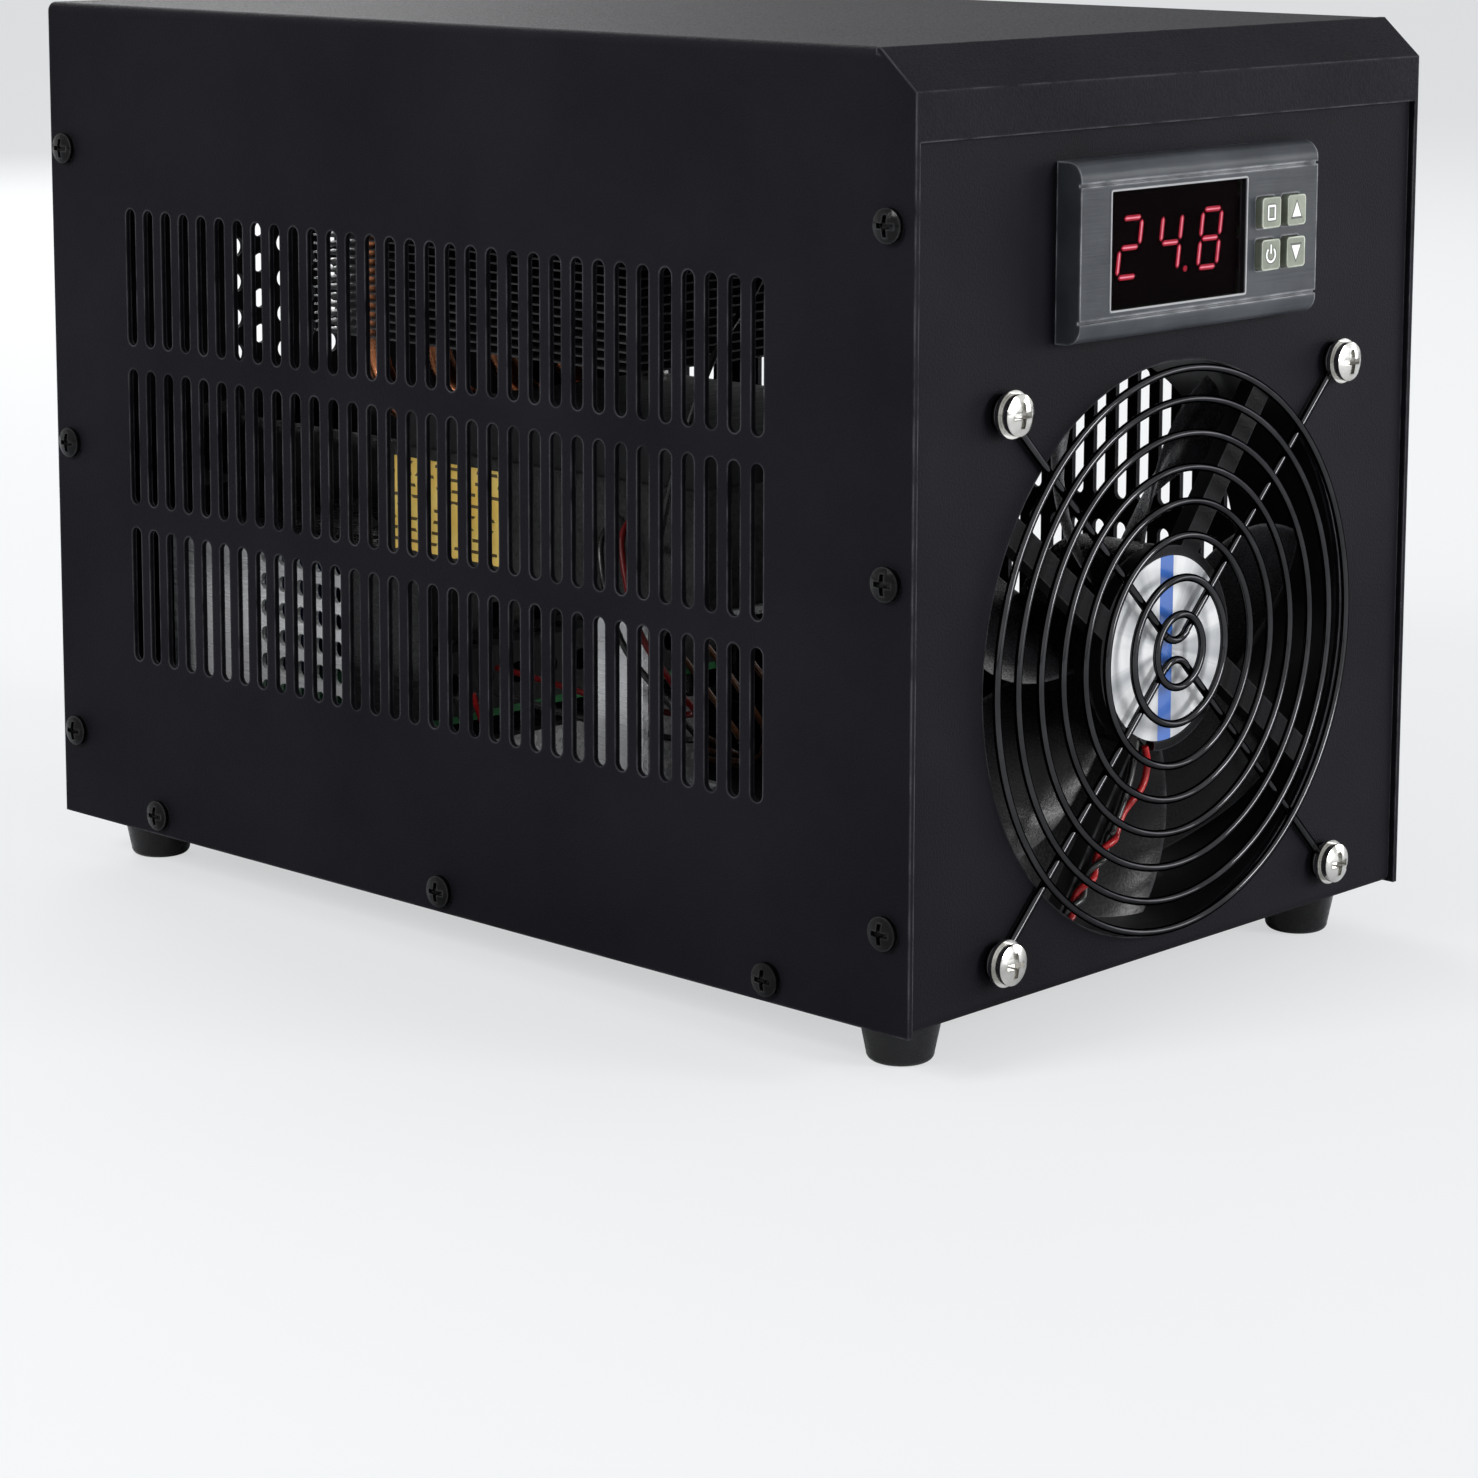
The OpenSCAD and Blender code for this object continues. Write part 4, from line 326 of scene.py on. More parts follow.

# %% [markdown]
# Paint is thin over a bend and is rubbed there first, and a bend catches the light as well: a lighter
# edge colour is partly wear and partly a painted highlight, and a darker one is painted shade. The
# Bevel node gives the normal of a rounded edge, and where that differs from the flat one there is an
# edge.

# %% Edges: wear, painted highlight and painted shade
edges, ins, outs = new_group("worn_edges", [("Radius", "Float", 0.0008), ("Amount", "Float", 1.0)],
                             [("Mask", "Float")])
where = node(edges, "ShaderNodeTexCoord")
facing = node(edges, "ShaderNodeNewGeometry")
bevel = node(edges, "ShaderNodeBevel", [(ins.outputs["Radius"], "Radius")], samples=4)
agree = node(edges, "ShaderNodeVectorMath",
             [(bevel.outputs["Normal"], 0), (facing.outputs["True Normal"], 1)],
             operation="DOT_PRODUCT")
bent = node(edges, "ShaderNodeMapRange", [(agree.outputs["Value"], "Value")],
            From_Min=0.995, From_Max=0.8)
patchy = node(edges, "ShaderNodeTexNoise", [(where.outputs["Object"], "Vector")],
              Scale=160.0, Detail=3.0)
edge_patches = node(edges, "ShaderNodeMapRange", [(patchy.outputs["Fac"], "Value")], From_Min=0.3, From_Max=0.6)
both = node(edges, "ShaderNodeMath", [(bent.outputs[0], 0), (edge_patches.outputs[0], 1)], operation="MULTIPLY")
scaled = node(edges, "ShaderNodeMath", [(both.outputs[0], 0), (ins.outputs["Amount"], 1)],
              operation="MULTIPLY")
edges.links.new(scaled.outputs[0], outs.inputs["Mask"])
print("group:", edges.name)

# %% [markdown]
# Rolled and brushed metal has lines that run one way. The same noise does it, squeezed across
# the lines and stretched along them.

# %% Drawn lines
drawn, ins, outs = new_group("drawn_lines", [("Stretch", "Vector", (400.0, 20.0, 400.0))],
                             [("Height", "Float"), ("Mask", "Float")])
where = node(drawn, "ShaderNodeTexCoord")
pull = node(drawn, "ShaderNodeMapping",
            [(where.outputs["Object"], "Vector"), (ins.outputs["Stretch"], "Scale")])
noise = node(drawn, "ShaderNodeTexNoise", [(pull.outputs[0], "Vector")], Scale=5.0, Detail=3.0)
line = node(drawn, "ShaderNodeMapRange", [(noise.outputs["Fac"], "Value")],
            From_Min=0.35, From_Max=0.65)
drawn.links.new(noise.outputs["Fac"], outs.inputs["Height"])
drawn.links.new(line.outputs[0], outs.inputs["Mask"])
print("group:", drawn.name)

# %% [markdown]
# Most finishes here differ only in colour, gloss, grain and edges of wear and painted light, so one
# recipe serves them all.
# It puts the shared effects round a principled shader, whose constants stay on its own sockets.

# %% Material helpers
def new_material(name, **constants):
    """An empty principled material. Constants go straight on the shader's own sockets."""
    material = bpy.data.materials.new(name)
    material.use_nodes = True
    shader = material.node_tree.nodes["Principled BSDF"]
    for label, value in constants.items():
        shader.inputs[label.replace("_", " ")].default_value = value
    return material, material.node_tree, shader


def use(tree, group, **values):
    """Puts a shared effect in a material with its own values."""
    made = tree.nodes.new("ShaderNodeGroup")
    made.node_tree = group
    for label, value in values.items():
        made.inputs[label].default_value = value
    return made


def blend_colour(tree, mask, low, high):
    """Colour that goes from low, where the mask is 0, to high, where it is 1."""
    mix = tree.nodes.new("ShaderNodeMix")
    mix.data_type = "RGBA"
    tree.links.new(mask, mix.inputs["Factor"])
    for value, label in ((low, "A"), (high, "B")):
        socket = [s for s in mix.inputs if s.name == label and s.type == "RGBA"][0]
        if isinstance(value, tuple):
            socket.default_value = (*value, 1.0)
        else:
            tree.links.new(value, socket)
    return [s for s in mix.outputs if s.type == "RGBA"][0]


def between(tree, mask, low, high):
    """Value that goes from low to high with the mask."""
    return node(tree, "ShaderNodeMapRange", [(mask, "Value")], To_Min=low, To_Max=high).outputs[0]


def raised(tree, shader, height, distance, strength=1.0):
    """Bumps the surface by the height times a distance in metres."""
    bump = node(tree, "ShaderNodeBump", [(height, "Height")], Distance=distance, Strength=strength)
    tree.links.new(bump.outputs[0], shader.inputs["Normal"])


EDGE_WEAR_AND_LIGHT_RADIUS = 0.0007


def finish(name, dark, light, rough, grain_scale=900.0, depth=0.00004, cloud_scale=25.0, edge=None,
           edge_amount=0.5, lines=None, **constants):
    """The common recipe. Clouds go from the dark to the light colour, grain or drawn lines vary the
    gloss and raise the surface by the depth in metres, and the edge colour marks the bends: a lighter
    one is partly wear and partly a painted highlight, a darker one is painted shade."""
    material, tree, shader = new_material(name, **constants)
    cloud = use(tree, clouds, Scale=cloud_scale)
    fine = use(tree, drawn, Stretch=lines) if lines else use(tree, grain, Scale=grain_scale)
    colour = blend_colour(tree, cloud.outputs["Mask"], dark, light)
    if edge:
        wear_and_light_edges = use(tree, edges, Radius=EDGE_WEAR_AND_LIGHT_RADIUS, Amount=edge_amount)
        colour = blend_colour(tree, wear_and_light_edges.outputs["Mask"], colour, edge)
    tree.links.new(colour, shader.inputs["Base Color"])
    tree.links.new(between(tree, fine.outputs["Mask"], rough[0], rough[1]), shader.inputs["Roughness"])
    raised(tree, shader, fine.outputs["Height"], depth)
    return material


painted = {}


def paint(material, *names):
    """Gives CAD nodes or new pieces their finish."""
    for name in names:
        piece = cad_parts.get(name) or bpy.data.objects[name]
        piece.data.materials.clear()
        piece.data.materials.append(material)
        painted[name] = material.name
    print(material.name, "on", ", ".join(names))


# %% [markdown]
# ## The case: black powder coat
# The real case is sheet steel, sprayed with dry powder and baked. It comes out deep black with a
# fine, even orange peel, and greyer along the bends, partly from wear and partly as a painted
# highlight. Clouds and grain give that, with the edge mask for the bends. The cover's screws are
# blackened steel, which is smoother, with a painted glint on their edges.

# %% Case paint
# The case's greyer edge colour is partly wear and partly a painted highlight on the bends.
paint(finish("powder_coat", (0.0044, 0.004, 0.006), (0.008, 0.0074, 0.0105), (0.56, 0.7),
             grain_scale=2100.0, depth=0.00012, cloud_scale=18.0, edge=(0.11, 0.11, 0.12),
             edge_amount=0.7, Specular_IOR_Level=0.052), "base_chassis", "top_cover")
# The screws' lighter edge colour is a painted glint on their rims and recesses.
paint(finish("black_oxide", (0.001, 0.001, 0.0012), (0.003, 0.003, 0.0034), (0.1, 0.2),
             grain_scale=1500.0, depth=0.00003, cloud_scale=120.0, edge=(0.08, 0.08, 0.085),
             edge_amount=0.5, Specular_IOR_Level=0.12), "cover_screws")

# %% [markdown]
# ## Rubber, plastics and wire
# Each is the same recipe with its own grain: gloss for the guard's lacquered wire and the red
# rocker, satin for the feet, and fine lines for the controller's bezel, whose pale edges are a
# painted highlight. The keys' pale edges are a painted highlight too.

# %% Plastics and rubber
paint(finish("foot_rubber", (0.005, 0.005, 0.0055), (0.010, 0.010, 0.011), (0.24, 0.4),
             grain_scale=700.0, depth=0.00004, cloud_scale=60.0, Specular_IOR_Level=0.3), "rubber_feet")
paint(finish("guard_wire_lacquer", (0.035, 0.035, 0.037), (0.055, 0.055, 0.058), (0.07, 0.12),
             grain_scale=300.0, depth=0.00002, cloud_scale=80.0, Metallic=1.0,
             Specular_Tint=(0.05, 0.05, 0.05, 1.0)), "fan_guard")
# The bezel's pale edge colour is a painted highlight on its bends and grooves.
paint(finish("bezel_plastic", (0.024, 0.027, 0.032), (0.046, 0.05, 0.057), (0.3, 0.46), depth=0.00006,
             cloud_scale=60.0, edge=(0.4, 0.41, 0.43), edge_amount=0.9, lines=(9.0, 240.0, 240.0),
             Specular_IOR_Level=0.15), "controller_bezel")
paint(finish("controller_body_plastic", (0.02, 0.02, 0.021), (0.03, 0.03, 0.032), (0.4, 0.55),
             grain_scale=1100.0), "controller_case")
paint(finish("display_face", (0.0015, 0.0012, 0.0012), (0.003, 0.0022, 0.0022), (0.55, 0.7),
             grain_scale=900.0, depth=0.00001, Specular_IOR_Level=0.0), "display_module")
paint(finish("switch_plastic", (0.015, 0.015, 0.016), (0.025, 0.025, 0.026), (0.35, 0.5)),
      "button_switches")
paint(finish("clip_plastic", (0.5, 0.14, 0.02), (0.62, 0.2, 0.04), (0.35, 0.45)), "controller_clips")
paint(finish("clamp_green_plastic", (0.03, 0.2, 0.08), (0.05, 0.27, 0.11), (0.35, 0.45)),
      "controller_terminals")
paint(finish("clamp_black_plastic", (0.012, 0.012, 0.013), (0.02, 0.02, 0.021), (0.35, 0.5)),
      "power_supply_terminals")
# The keys' pale edge colour is a painted highlight along their edges.
paint(finish("button_silicone", (0.11, 0.125, 0.09), (0.19, 0.21, 0.16), (0.4, 0.55),
             grain_scale=1400.0, depth=0.00004, cloud_scale=150.0, edge=(0.66, 0.7, 0.6),
             edge_amount=1.0), "set_button", "up_button", "power_button", "down_button")
paint(finish("tail_plastic", (0.012, 0.012, 0.013), (0.02, 0.02, 0.022), (0.3, 0.42), grain_scale=900.0,
             Specular_IOR_Level=0.3), "water_inlet_tail", "water_outlet_tail", "tail_nuts")
paint(finish("inlet_plastic", (0.010, 0.010, 0.011), (0.017, 0.017, 0.018), (0.38, 0.5),
             grain_scale=1200.0, depth=0.00005, edge=(0.06, 0.06, 0.065)), "mains_inlet", "fuse_drawer")
paint(finish("rocker_red", (0.32, 0.008, 0.008), (0.45, 0.015, 0.012), (0.12, 0.22), grain_scale=400.0,
             depth=0.00002, Coat_Weight=0.3, Coat_Roughness=0.08), "rocker_switch")
paint(finish("hose_silicone", (0.004, 0.004, 0.0045), (0.008, 0.008, 0.009), (0.55, 0.7),
             grain_scale=300.0, depth=0.00006, cloud_scale=50.0, Specular_IOR_Level=0.05),
      "water_hoses")

# %% [markdown]
# The fan's frame is moulded round a polished core, so the wall of its duct shines, and its flat
# faces come from the textured half of the mould. A thin coat gives the shine: it lies where the
# surface doesn't face along the fan's axis.

# %% Fan frame
DUCT_COAT = 0.55
fan_plastic = finish("fan_frame_plastic", (0.004, 0.004, 0.0045), (0.008, 0.008, 0.009), (0.34, 0.44),
                     grain_scale=1900.0, depth=0.00007, cloud_scale=40.0, edge=(0.06, 0.06, 0.065),
                     Specular_IOR_Level=0.07, Coat_Roughness=0.3)
tree = fan_plastic.node_tree
facing = node(tree, "ShaderNodeNewGeometry")
axes = node(tree, "ShaderNodeSeparateXYZ", [(facing.outputs["True Normal"], 0)])
along = node(tree, "ShaderNodeMath", [(axes.outputs["Y"], 0)], operation="ABSOLUTE")
wall = node(tree, "ShaderNodeMapRange", [(along.outputs[0], "Value")], From_Min=0.7, From_Max=0.3)
tree.links.new(between(tree, wall.outputs[0], 0.0, DUCT_COAT),
               tree.nodes["Principled BSDF"].inputs["Coat Weight"])
paint(fan_plastic, "fan_frame")

# %% [markdown]
# ## Metals
# Nickel on the screws, rolled aluminium on the rails and the bracket, machined aluminium on the
# water block, anodised black on the heat sink's base and copper on the pipes. Bare metal is fully
# metallic, rolled sheet under its oxide less so, and dyed black not at all. The rest is colour,
# the way the lines run and how much the clouds dull them.

# %% Metals
# The nickel's darker edge colour is painted shade: a dark contour at rims and recesses.
paint(finish("nickel_plate", (0.52, 0.51, 0.48), (0.82, 0.81, 0.78), (0.1, 0.22), grain_scale=500.0,
             depth=0.00003, cloud_scale=200.0, edge=(0.06, 0.057, 0.054), edge_amount=1.0,
             Metallic=1.0),
      "foot_fasteners", "fan_guard_screws", "fan_guard_nuts", "cooler_screws", "fan_bearings",
      "fan_shaft")
paint(finish("rolled_aluminium", (0.84, 0.85, 0.86), (0.95, 0.95, 0.96), (0.2, 0.34), depth=0.00002,
             cloud_scale=40.0, lines=(120.0, 6.0, 120.0), Metallic=0.4),
      "power_supply_rails", "cooler_bracket")
paint(finish("machined_aluminium", (0.68, 0.69, 0.7), (0.82, 0.83, 0.84), (0.2, 0.36), depth=0.00002,
             cloud_scale=40.0, lines=(6.0, 180.0, 180.0), Metallic=1.0), "water_block")
paint(finish("black_anodised", (0.01, 0.01, 0.011), (0.02, 0.02, 0.022), (0.4, 0.55), depth=0.00002,
             cloud_scale=40.0, lines=(6.0, 180.0, 180.0), Specular_IOR_Level=0.3), "heat_sink_base")
paint(finish("copper_tube", (0.42, 0.15, 0.065), (0.72, 0.31, 0.16), (0.16, 0.34), grain_scale=300.0,
             depth=0.00003, cloud_scale=70.0, Metallic=1.0), "heat_pipes", "fan_coils")
paint(finish("core_steel", (0.2, 0.2, 0.21), (0.3, 0.3, 0.31), (0.35, 0.5), depth=0.0001,
             cloud_scale=90.0, lines=(5.0, 400.0, 5.0), Metallic=0.9), "fan_stator_core")
paint(finish("pin_plate", (0.6, 0.52, 0.33), (0.75, 0.68, 0.5), (0.2, 0.32), grain_scale=300.0,
             depth=0.00002, cloud_scale=150.0, Metallic=1.0), "mains_pins")

# %% [markdown]
# ## What sits inside
# The slots show slivers of it, and the rest is seen when the cover is off: ferrite, capacitor
# sleeves, foam, ceramic and the insulation of the leads.

# %% Inner finishes
paint(finish("magnet_ferrite", (0.03, 0.03, 0.031), (0.06, 0.06, 0.062), (0.5, 0.65), grain_scale=800.0,
             depth=0.00008), "fan_magnet")
paint(finish("core_ferrite", (0.035, 0.033, 0.03), (0.07, 0.066, 0.06), (0.45, 0.6), grain_scale=800.0,
             depth=0.0001), "power_supply_transformer")
paint(finish("capacitor_sleeve", (0.02, 0.03, 0.12), (0.035, 0.05, 0.18), (0.2, 0.3),
             grain_scale=300.0), "power_supply_capacitors")
paint(finish("cell_foam", (0.008, 0.008, 0.008), (0.02, 0.02, 0.02), (0.75, 0.95), grain_scale=700.0,
             depth=0.0005, cloud_scale=90.0), "cold_box")
paint(finish("module_ceramic", (0.74, 0.74, 0.72), (0.86, 0.86, 0.84), (0.5, 0.65), grain_scale=1500.0),
      "peltier_modules")
paint(finish("lead_red", (0.3, 0.008, 0.01), (0.42, 0.018, 0.018), (0.22, 0.36), grain_scale=600.0,
             Specular_IOR_Level=0.3), "fan_lead_red")
paint(finish("module_lead_red", (0.1, 0.004, 0.005), (0.15, 0.007, 0.008), (0.3, 0.45),
             grain_scale=600.0, Specular_IOR_Level=0.3), "peltier_lead_red")
paint(finish("lead_black", (0.008, 0.008, 0.008), (0.016, 0.016, 0.016), (0.25, 0.4),
             grain_scale=600.0), "fan_lead_black", "peltier_lead_black", "temperature_probe")
paint(finish("lead_brown", (0.13, 0.05, 0.02), (0.19, 0.08, 0.035), (0.25, 0.4), grain_scale=600.0),
      "mains_leads")

# %% [markdown]
# The power supply is folded from rolled sheet as well. Its front end, where the terminals are, and
# its top are painted near-black as painted shade, so the silver shows only on the sides behind the
# terminals. The painted shade is a step in the Y and in the Z coordinate, with an edge that noise
# makes a little uneven.

# %% Power supply sheet
SHADE_REAR_Y = 176.5
SHADE_LOWER_Z = 65.3
SHADE_FADE = 0.2
SHADE_WANDER = 1.2
SHEET_METALLIC = 0.4
supply, tree, shader = new_material("supply_sheet")
where = node(tree, "ShaderNodeTexCoord")
axes = node(tree, "ShaderNodeSeparateXYZ", [(where.outputs["Object"], 0)])
cut = node(tree, "ShaderNodeTexNoise", [(where.outputs["Object"], "Vector")], Scale=90.0)
wander = node(tree, "ShaderNodeMath", [(cut.outputs["Fac"], 0), (axes.outputs["Y"], 2)],
              operation="MULTIPLY_ADD")
wander.inputs[1].default_value = SHADE_WANDER * MM
behind = node(tree, "ShaderNodeMapRange", [(wander.outputs[0], "Value")],
              From_Min=(SHADE_REAR_Y - MIDDLE_Y) * MM,
              From_Max=(SHADE_REAR_Y - MIDDLE_Y + SHADE_FADE) * MM)
under = node(tree, "ShaderNodeMapRange", [(axes.outputs["Z"], "Value")],
             From_Min=(SHADE_LOWER_Z + FOOT_H) * MM,
             From_Max=(SHADE_LOWER_Z + FOOT_H - SHADE_FADE) * MM)
outside_shade = node(tree, "ShaderNodeMath", [(behind.outputs[0], 0), (under.outputs[0], 1)],
                  operation="MULTIPLY")
cloud = use(tree, clouds, Scale=40.0)
rolled = use(tree, drawn, Stretch=(120.0, 6.0, 120.0))
metal = blend_colour(tree, cloud.outputs["Mask"], (0.84, 0.85, 0.86), (0.95, 0.95, 0.96))
# Painted shade: near-black over the supply's front end and top.
painted_shade = blend_colour(tree, cloud.outputs["Mask"], (0.008, 0.008, 0.009), (0.014, 0.014, 0.015))
tree.links.new(blend_colour(tree, outside_shade.outputs[0], painted_shade, metal), shader.inputs["Base Color"])
tree.links.new(between(tree, outside_shade.outputs[0], 0.0, SHEET_METALLIC), shader.inputs["Metallic"])
tree.links.new(between(tree, rolled.outputs["Mask"], 0.2, 0.34), shader.inputs["Roughness"])
raised(tree, shader, rolled.outputs["Height"], 0.00002)
paint(supply, "power_supply_base", "power_supply_cover")

# %% [markdown]
# The fins are stamped from thin sheet. Their faces are dark grey, and towards the rear ends a
# painted highlight makes them bright. The Y coordinate tells how near a point is to those ends.

# %% Fins
FIN_REAR_Y = 197.0
HIGHLIGHT_START, HIGHLIGHT_FULL = 4.0, 0.5
fins, tree, shader = new_material("fin_aluminium", Metallic=1.0)
where = node(tree, "ShaderNodeTexCoord")
axes = node(tree, "ShaderNodeSeparateXYZ", [(where.outputs["Object"], 0)])
end_highlight = node(tree, "ShaderNodeMapRange", [(axes.outputs["Y"], "Value")],
                From_Min=(FIN_REAR_Y - MIDDLE_Y - HIGHLIGHT_START) * MM,
                From_Max=(FIN_REAR_Y - MIDDLE_Y - HIGHLIGHT_FULL) * MM)
cloud = use(tree, clouds, Scale=60.0)
dull = blend_colour(tree, cloud.outputs["Mask"], (0.07, 0.07, 0.075), (0.15, 0.15, 0.155))
# Painted highlight: the fins turn bright near their rear ends.
tree.links.new(blend_colour(tree, end_highlight.outputs[0], dull, (0.85, 0.86, 0.87)),
               shader.inputs["Base Color"])
tree.links.new(between(tree, end_highlight.outputs[0], 0.5, 0.22), shader.inputs["Roughness"])
rolled = use(tree, drawn, Stretch=(6.0, 180.0, 180.0))
raised(tree, shader, rolled.outputs["Height"], 0.00002)
paint(fins, "heat_sink_fins")

# %% [markdown]
# The yellow sticker on the cold box carries only plain rules, like an empty form: short bars in
# rows. The rows come from the remainder of the height divided by the row pitch, and noise along
# the row breaks them up.

# %% Yellow label
RULE_PITCH, RULE_H = 2.4, 0.7
sticker, tree, shader = new_material("yellow_label", Coat_Weight=0.25, Coat_Roughness=0.15)
where = node(tree, "ShaderNodeTexCoord")
axes = node(tree, "ShaderNodeSeparateXYZ", [(where.outputs["Object"], 0)])
row = node(tree, "ShaderNodeMath", [(axes.outputs["Z"], 0)], operation="MODULO")
row.inputs[1].default_value = RULE_PITCH * MM
in_row = node(tree, "ShaderNodeMath", [(row.outputs[0], 0)], operation="LESS_THAN")
in_row.inputs[1].default_value = RULE_H * MM
bars = node(tree, "ShaderNodeTexNoise", [(where.outputs["Object"], "Vector")], Scale=300.0, Detail=0.0)
in_bar = node(tree, "ShaderNodeMath", [(bars.outputs["Fac"], 0)], operation="GREATER_THAN")
in_bar.inputs[1].default_value = 0.5
ruled = node(tree, "ShaderNodeMath", [(in_row.outputs[0], 0), (in_bar.outputs[0], 1)],
             operation="MULTIPLY")
cloud = use(tree, clouds, Scale=90.0)
sheet = blend_colour(tree, cloud.outputs["Mask"], (0.92, 0.58, 0.09), (1.0, 0.74, 0.2))
tree.links.new(blend_colour(tree, ruled.outputs[0], sheet, (0.1, 0.06, 0.015)),
               shader.inputs["Base Color"])
tree.links.new(between(tree, cloud.outputs["Mask"], 0.3, 0.45), shader.inputs["Roughness"])
paint(sticker, "cold_box_label")

# %% [markdown]
# A circuit board is green lacquer over copper tracks, which stand a little proud. A brick
# pattern turned into thin lines reads as tracks at this size.

# %% Circuit boards
board, tree, shader = new_material("board_lacquer", Coat_Weight=0.4)
where = node(tree, "ShaderNodeTexCoord")
tracks = node(tree, "ShaderNodeTexBrick", [(where.outputs["Object"], "Vector")], Scale=160.0)
tracks.inputs["Mortar Size"].default_value = 0.06
tracks.inputs["Color1"].default_value = (0, 0, 0, 1)
tracks.inputs["Color2"].default_value = (0, 0, 0, 1)
tracks.inputs["Mortar"].default_value = (1, 1, 1, 1)
tree.links.new(blend_colour(tree, tracks.outputs["Fac"], (0.01, 0.09, 0.03), (0.05, 0.26, 0.09)),
               shader.inputs["Base Color"])
cloud = use(tree, clouds, Scale=60.0)
tree.links.new(between(tree, cloud.outputs["Mask"], 0.25, 0.4), shader.inputs["Roughness"])
raised(tree, shader, tracks.outputs["Fac"], 0.00006)
paint(board, "fan_circuit_board", "controller_boards", "power_supply_board")

# %% [markdown]
# ## The label on the fan's hub
# A round foil label. What is printed on the real one is left out: a plain narrow blue band keeps
# its colours. Its radial sheen is a painted sheen in the colour, lighter and darker in wedges that
# change only with the angle: the noise reads the direction from the fan's axis, and never the distance.

# %% Hub label
BAND_HALF_W = 2.1
label, tree, shader = new_material("hub_label_print", Coat_Weight=0.5, Coat_Roughness=0.1)
where = node(tree, "ShaderNodeTexCoord")
centred = node(tree, "ShaderNodeMapping", [(where.outputs["Object"], "Vector")],
               Location=(0, 0, -(FAN_Z + FOOT_H) * MM))
axes = node(tree, "ShaderNodeSeparateXYZ", [(centred.outputs[0], 0)])
off_x = node(tree, "ShaderNodeMath", [(axes.outputs["X"], 0)], operation="ABSOLUTE")
band = node(tree, "ShaderNodeMath", [(off_x.outputs[0], 0)], operation="LESS_THAN")
band.inputs[1].default_value = BAND_HALF_W * MM
flat = node(tree, "ShaderNodeCombineXYZ", [(axes.outputs["X"], "X"), (axes.outputs["Z"], "Z")])
direction = node(tree, "ShaderNodeVectorMath", [(flat.outputs[0], 0)], operation="NORMALIZE")
streaks = node(tree, "ShaderNodeTexNoise", [(direction.outputs["Vector"], "Vector")],
               Scale=2.4, Detail=1.5)
painted_sheen = node(tree, "ShaderNodeMapRange", [(streaks.outputs["Fac"], "Value")],
             From_Min=0.36, From_Max=0.6)
# Painted sheen: the foil goes lighter and darker with the angle round the axis.
foil = blend_colour(tree, painted_sheen.outputs[0], (0.3, 0.31, 0.33), (0.68, 0.685, 0.69))
tree.links.new(blend_colour(tree, band.outputs[0], foil, (0.03, 0.11, 0.4)),
               shader.inputs["Base Color"])
tree.links.new(between(tree, painted_sheen.outputs[0], 0.4, 0.2), shader.inputs["Roughness"])
paint(label, "fan_hub_label")

# %% [markdown]
# ## The display
# Tinted acrylic over a black block with lit segments. The tint is see-through and almost black,
# and it has no grain, so it keeps its own small material.

# %% Window tint
window, tree, shader = new_material("window_tint", Alpha=0.35, Specular_IOR_Level=0.01)
cloud = use(tree, clouds, Scale=40.0)
tint = blend_colour(tree, cloud.outputs["Mask"], (0.0012, 0.0004, 0.0006), (0.0025, 0.0006, 0.001))
tree.links.new(tint, shader.inputs["Base Color"])
tree.links.new(between(tree, cloud.outputs["Mask"], 0.12, 0.18), shader.inputs["Roughness"])
paint(window, "controller_window")

# %% [markdown]
# Each lit segment is a thin bar with pointed ends and a gap to its neighbours. Its middle shines
# pale and its rim deep red, so a narrow pale bar lies on a wider red one. All segments
# are made at once: two end points each, six corners round them, and a thickness.

# %% Digits
DIGIT_W, DIGIT_H, DIGIT_PITCH, SLANT = 7.0, 12.2, 12.6, math.radians(8)
WINDOW_X, WINDOW_W, WINDOW_H = -7.2, 42.3, 22.6
DIGIT_Y, DIGIT_T, CORE_STEP = -2.45, 0.15, 0.02
BAR_INSET, DOT_INSET, DOT_R = 0.5, 0.7, 0.62
half_size = np.array([DIGIT_W / 2 - BAR_INSET, DIGIT_H / 2 - BAR_INSET])
ends = half_size * [[[-1, 1], [1, 1]], [[1, 1], [1, 0]], [[1, 0], [1, -1]], [[-1, -1], [1, -1]],
                    [[-1, 0], [-1, -1]], [[-1, 1], [-1, 0]], [[-1, 0], [1, 0]]]
shown = np.array([[1, 1, 0, 1, 1, 0, 1], [0, 1, 1, 0, 0, 1, 1], [1, 1, 1, 1, 1, 1, 1]], bool)
digit_x = (np.arange(3) - 1) * DIGIT_PITCH
bars = np.concatenate([ends[lit] + [x, 0] for lit, x in zip(shown, digit_x)])


def plates(outlines, front, back):
    """Closed thin plates: outline middle, outline at the front, outline at the back, middle again."""
    outlines = np.asarray(outlines, float)
    middle = outlines.mean(-2, keepdims=True) + 0 * outlines
    rings = np.stack([middle, outlines, outlines, middle], -3)
    depth = np.array([front, front, back, back])[:, None, None] + 0 * rings[..., :1]
    return np.concatenate([rings[..., :1], depth, rings[..., 1:]], -1)


def bar_outlines(bars, width, gap):
    """Six corners per bar: its two tips, and near each tip one corner to either side."""
    start, end = bars[:, 0], bars[:, 1]
    along = (end - start) / np.linalg.norm(end - start, axis=1, keepdims=True)
    out = np.stack([-along[:, 1], along[:, 0]], -1) * width / 2
    start, end = start + along * gap, end - along * gap
    inner, outer = start + along * width / 2, end - along * width / 2
    return np.stack([start, inner + out, outer + out, end, outer - out, inner - out], 1)


def leaning(flat):
    """Slants the digits and carries them to the middle of the window."""
    lean = flat[..., :1] + math.tan(SLANT) * flat[..., 1:]
    return np.concatenate([lean + WINDOW_X, flat[..., 1:] + CONTROLLER_Z], -1)


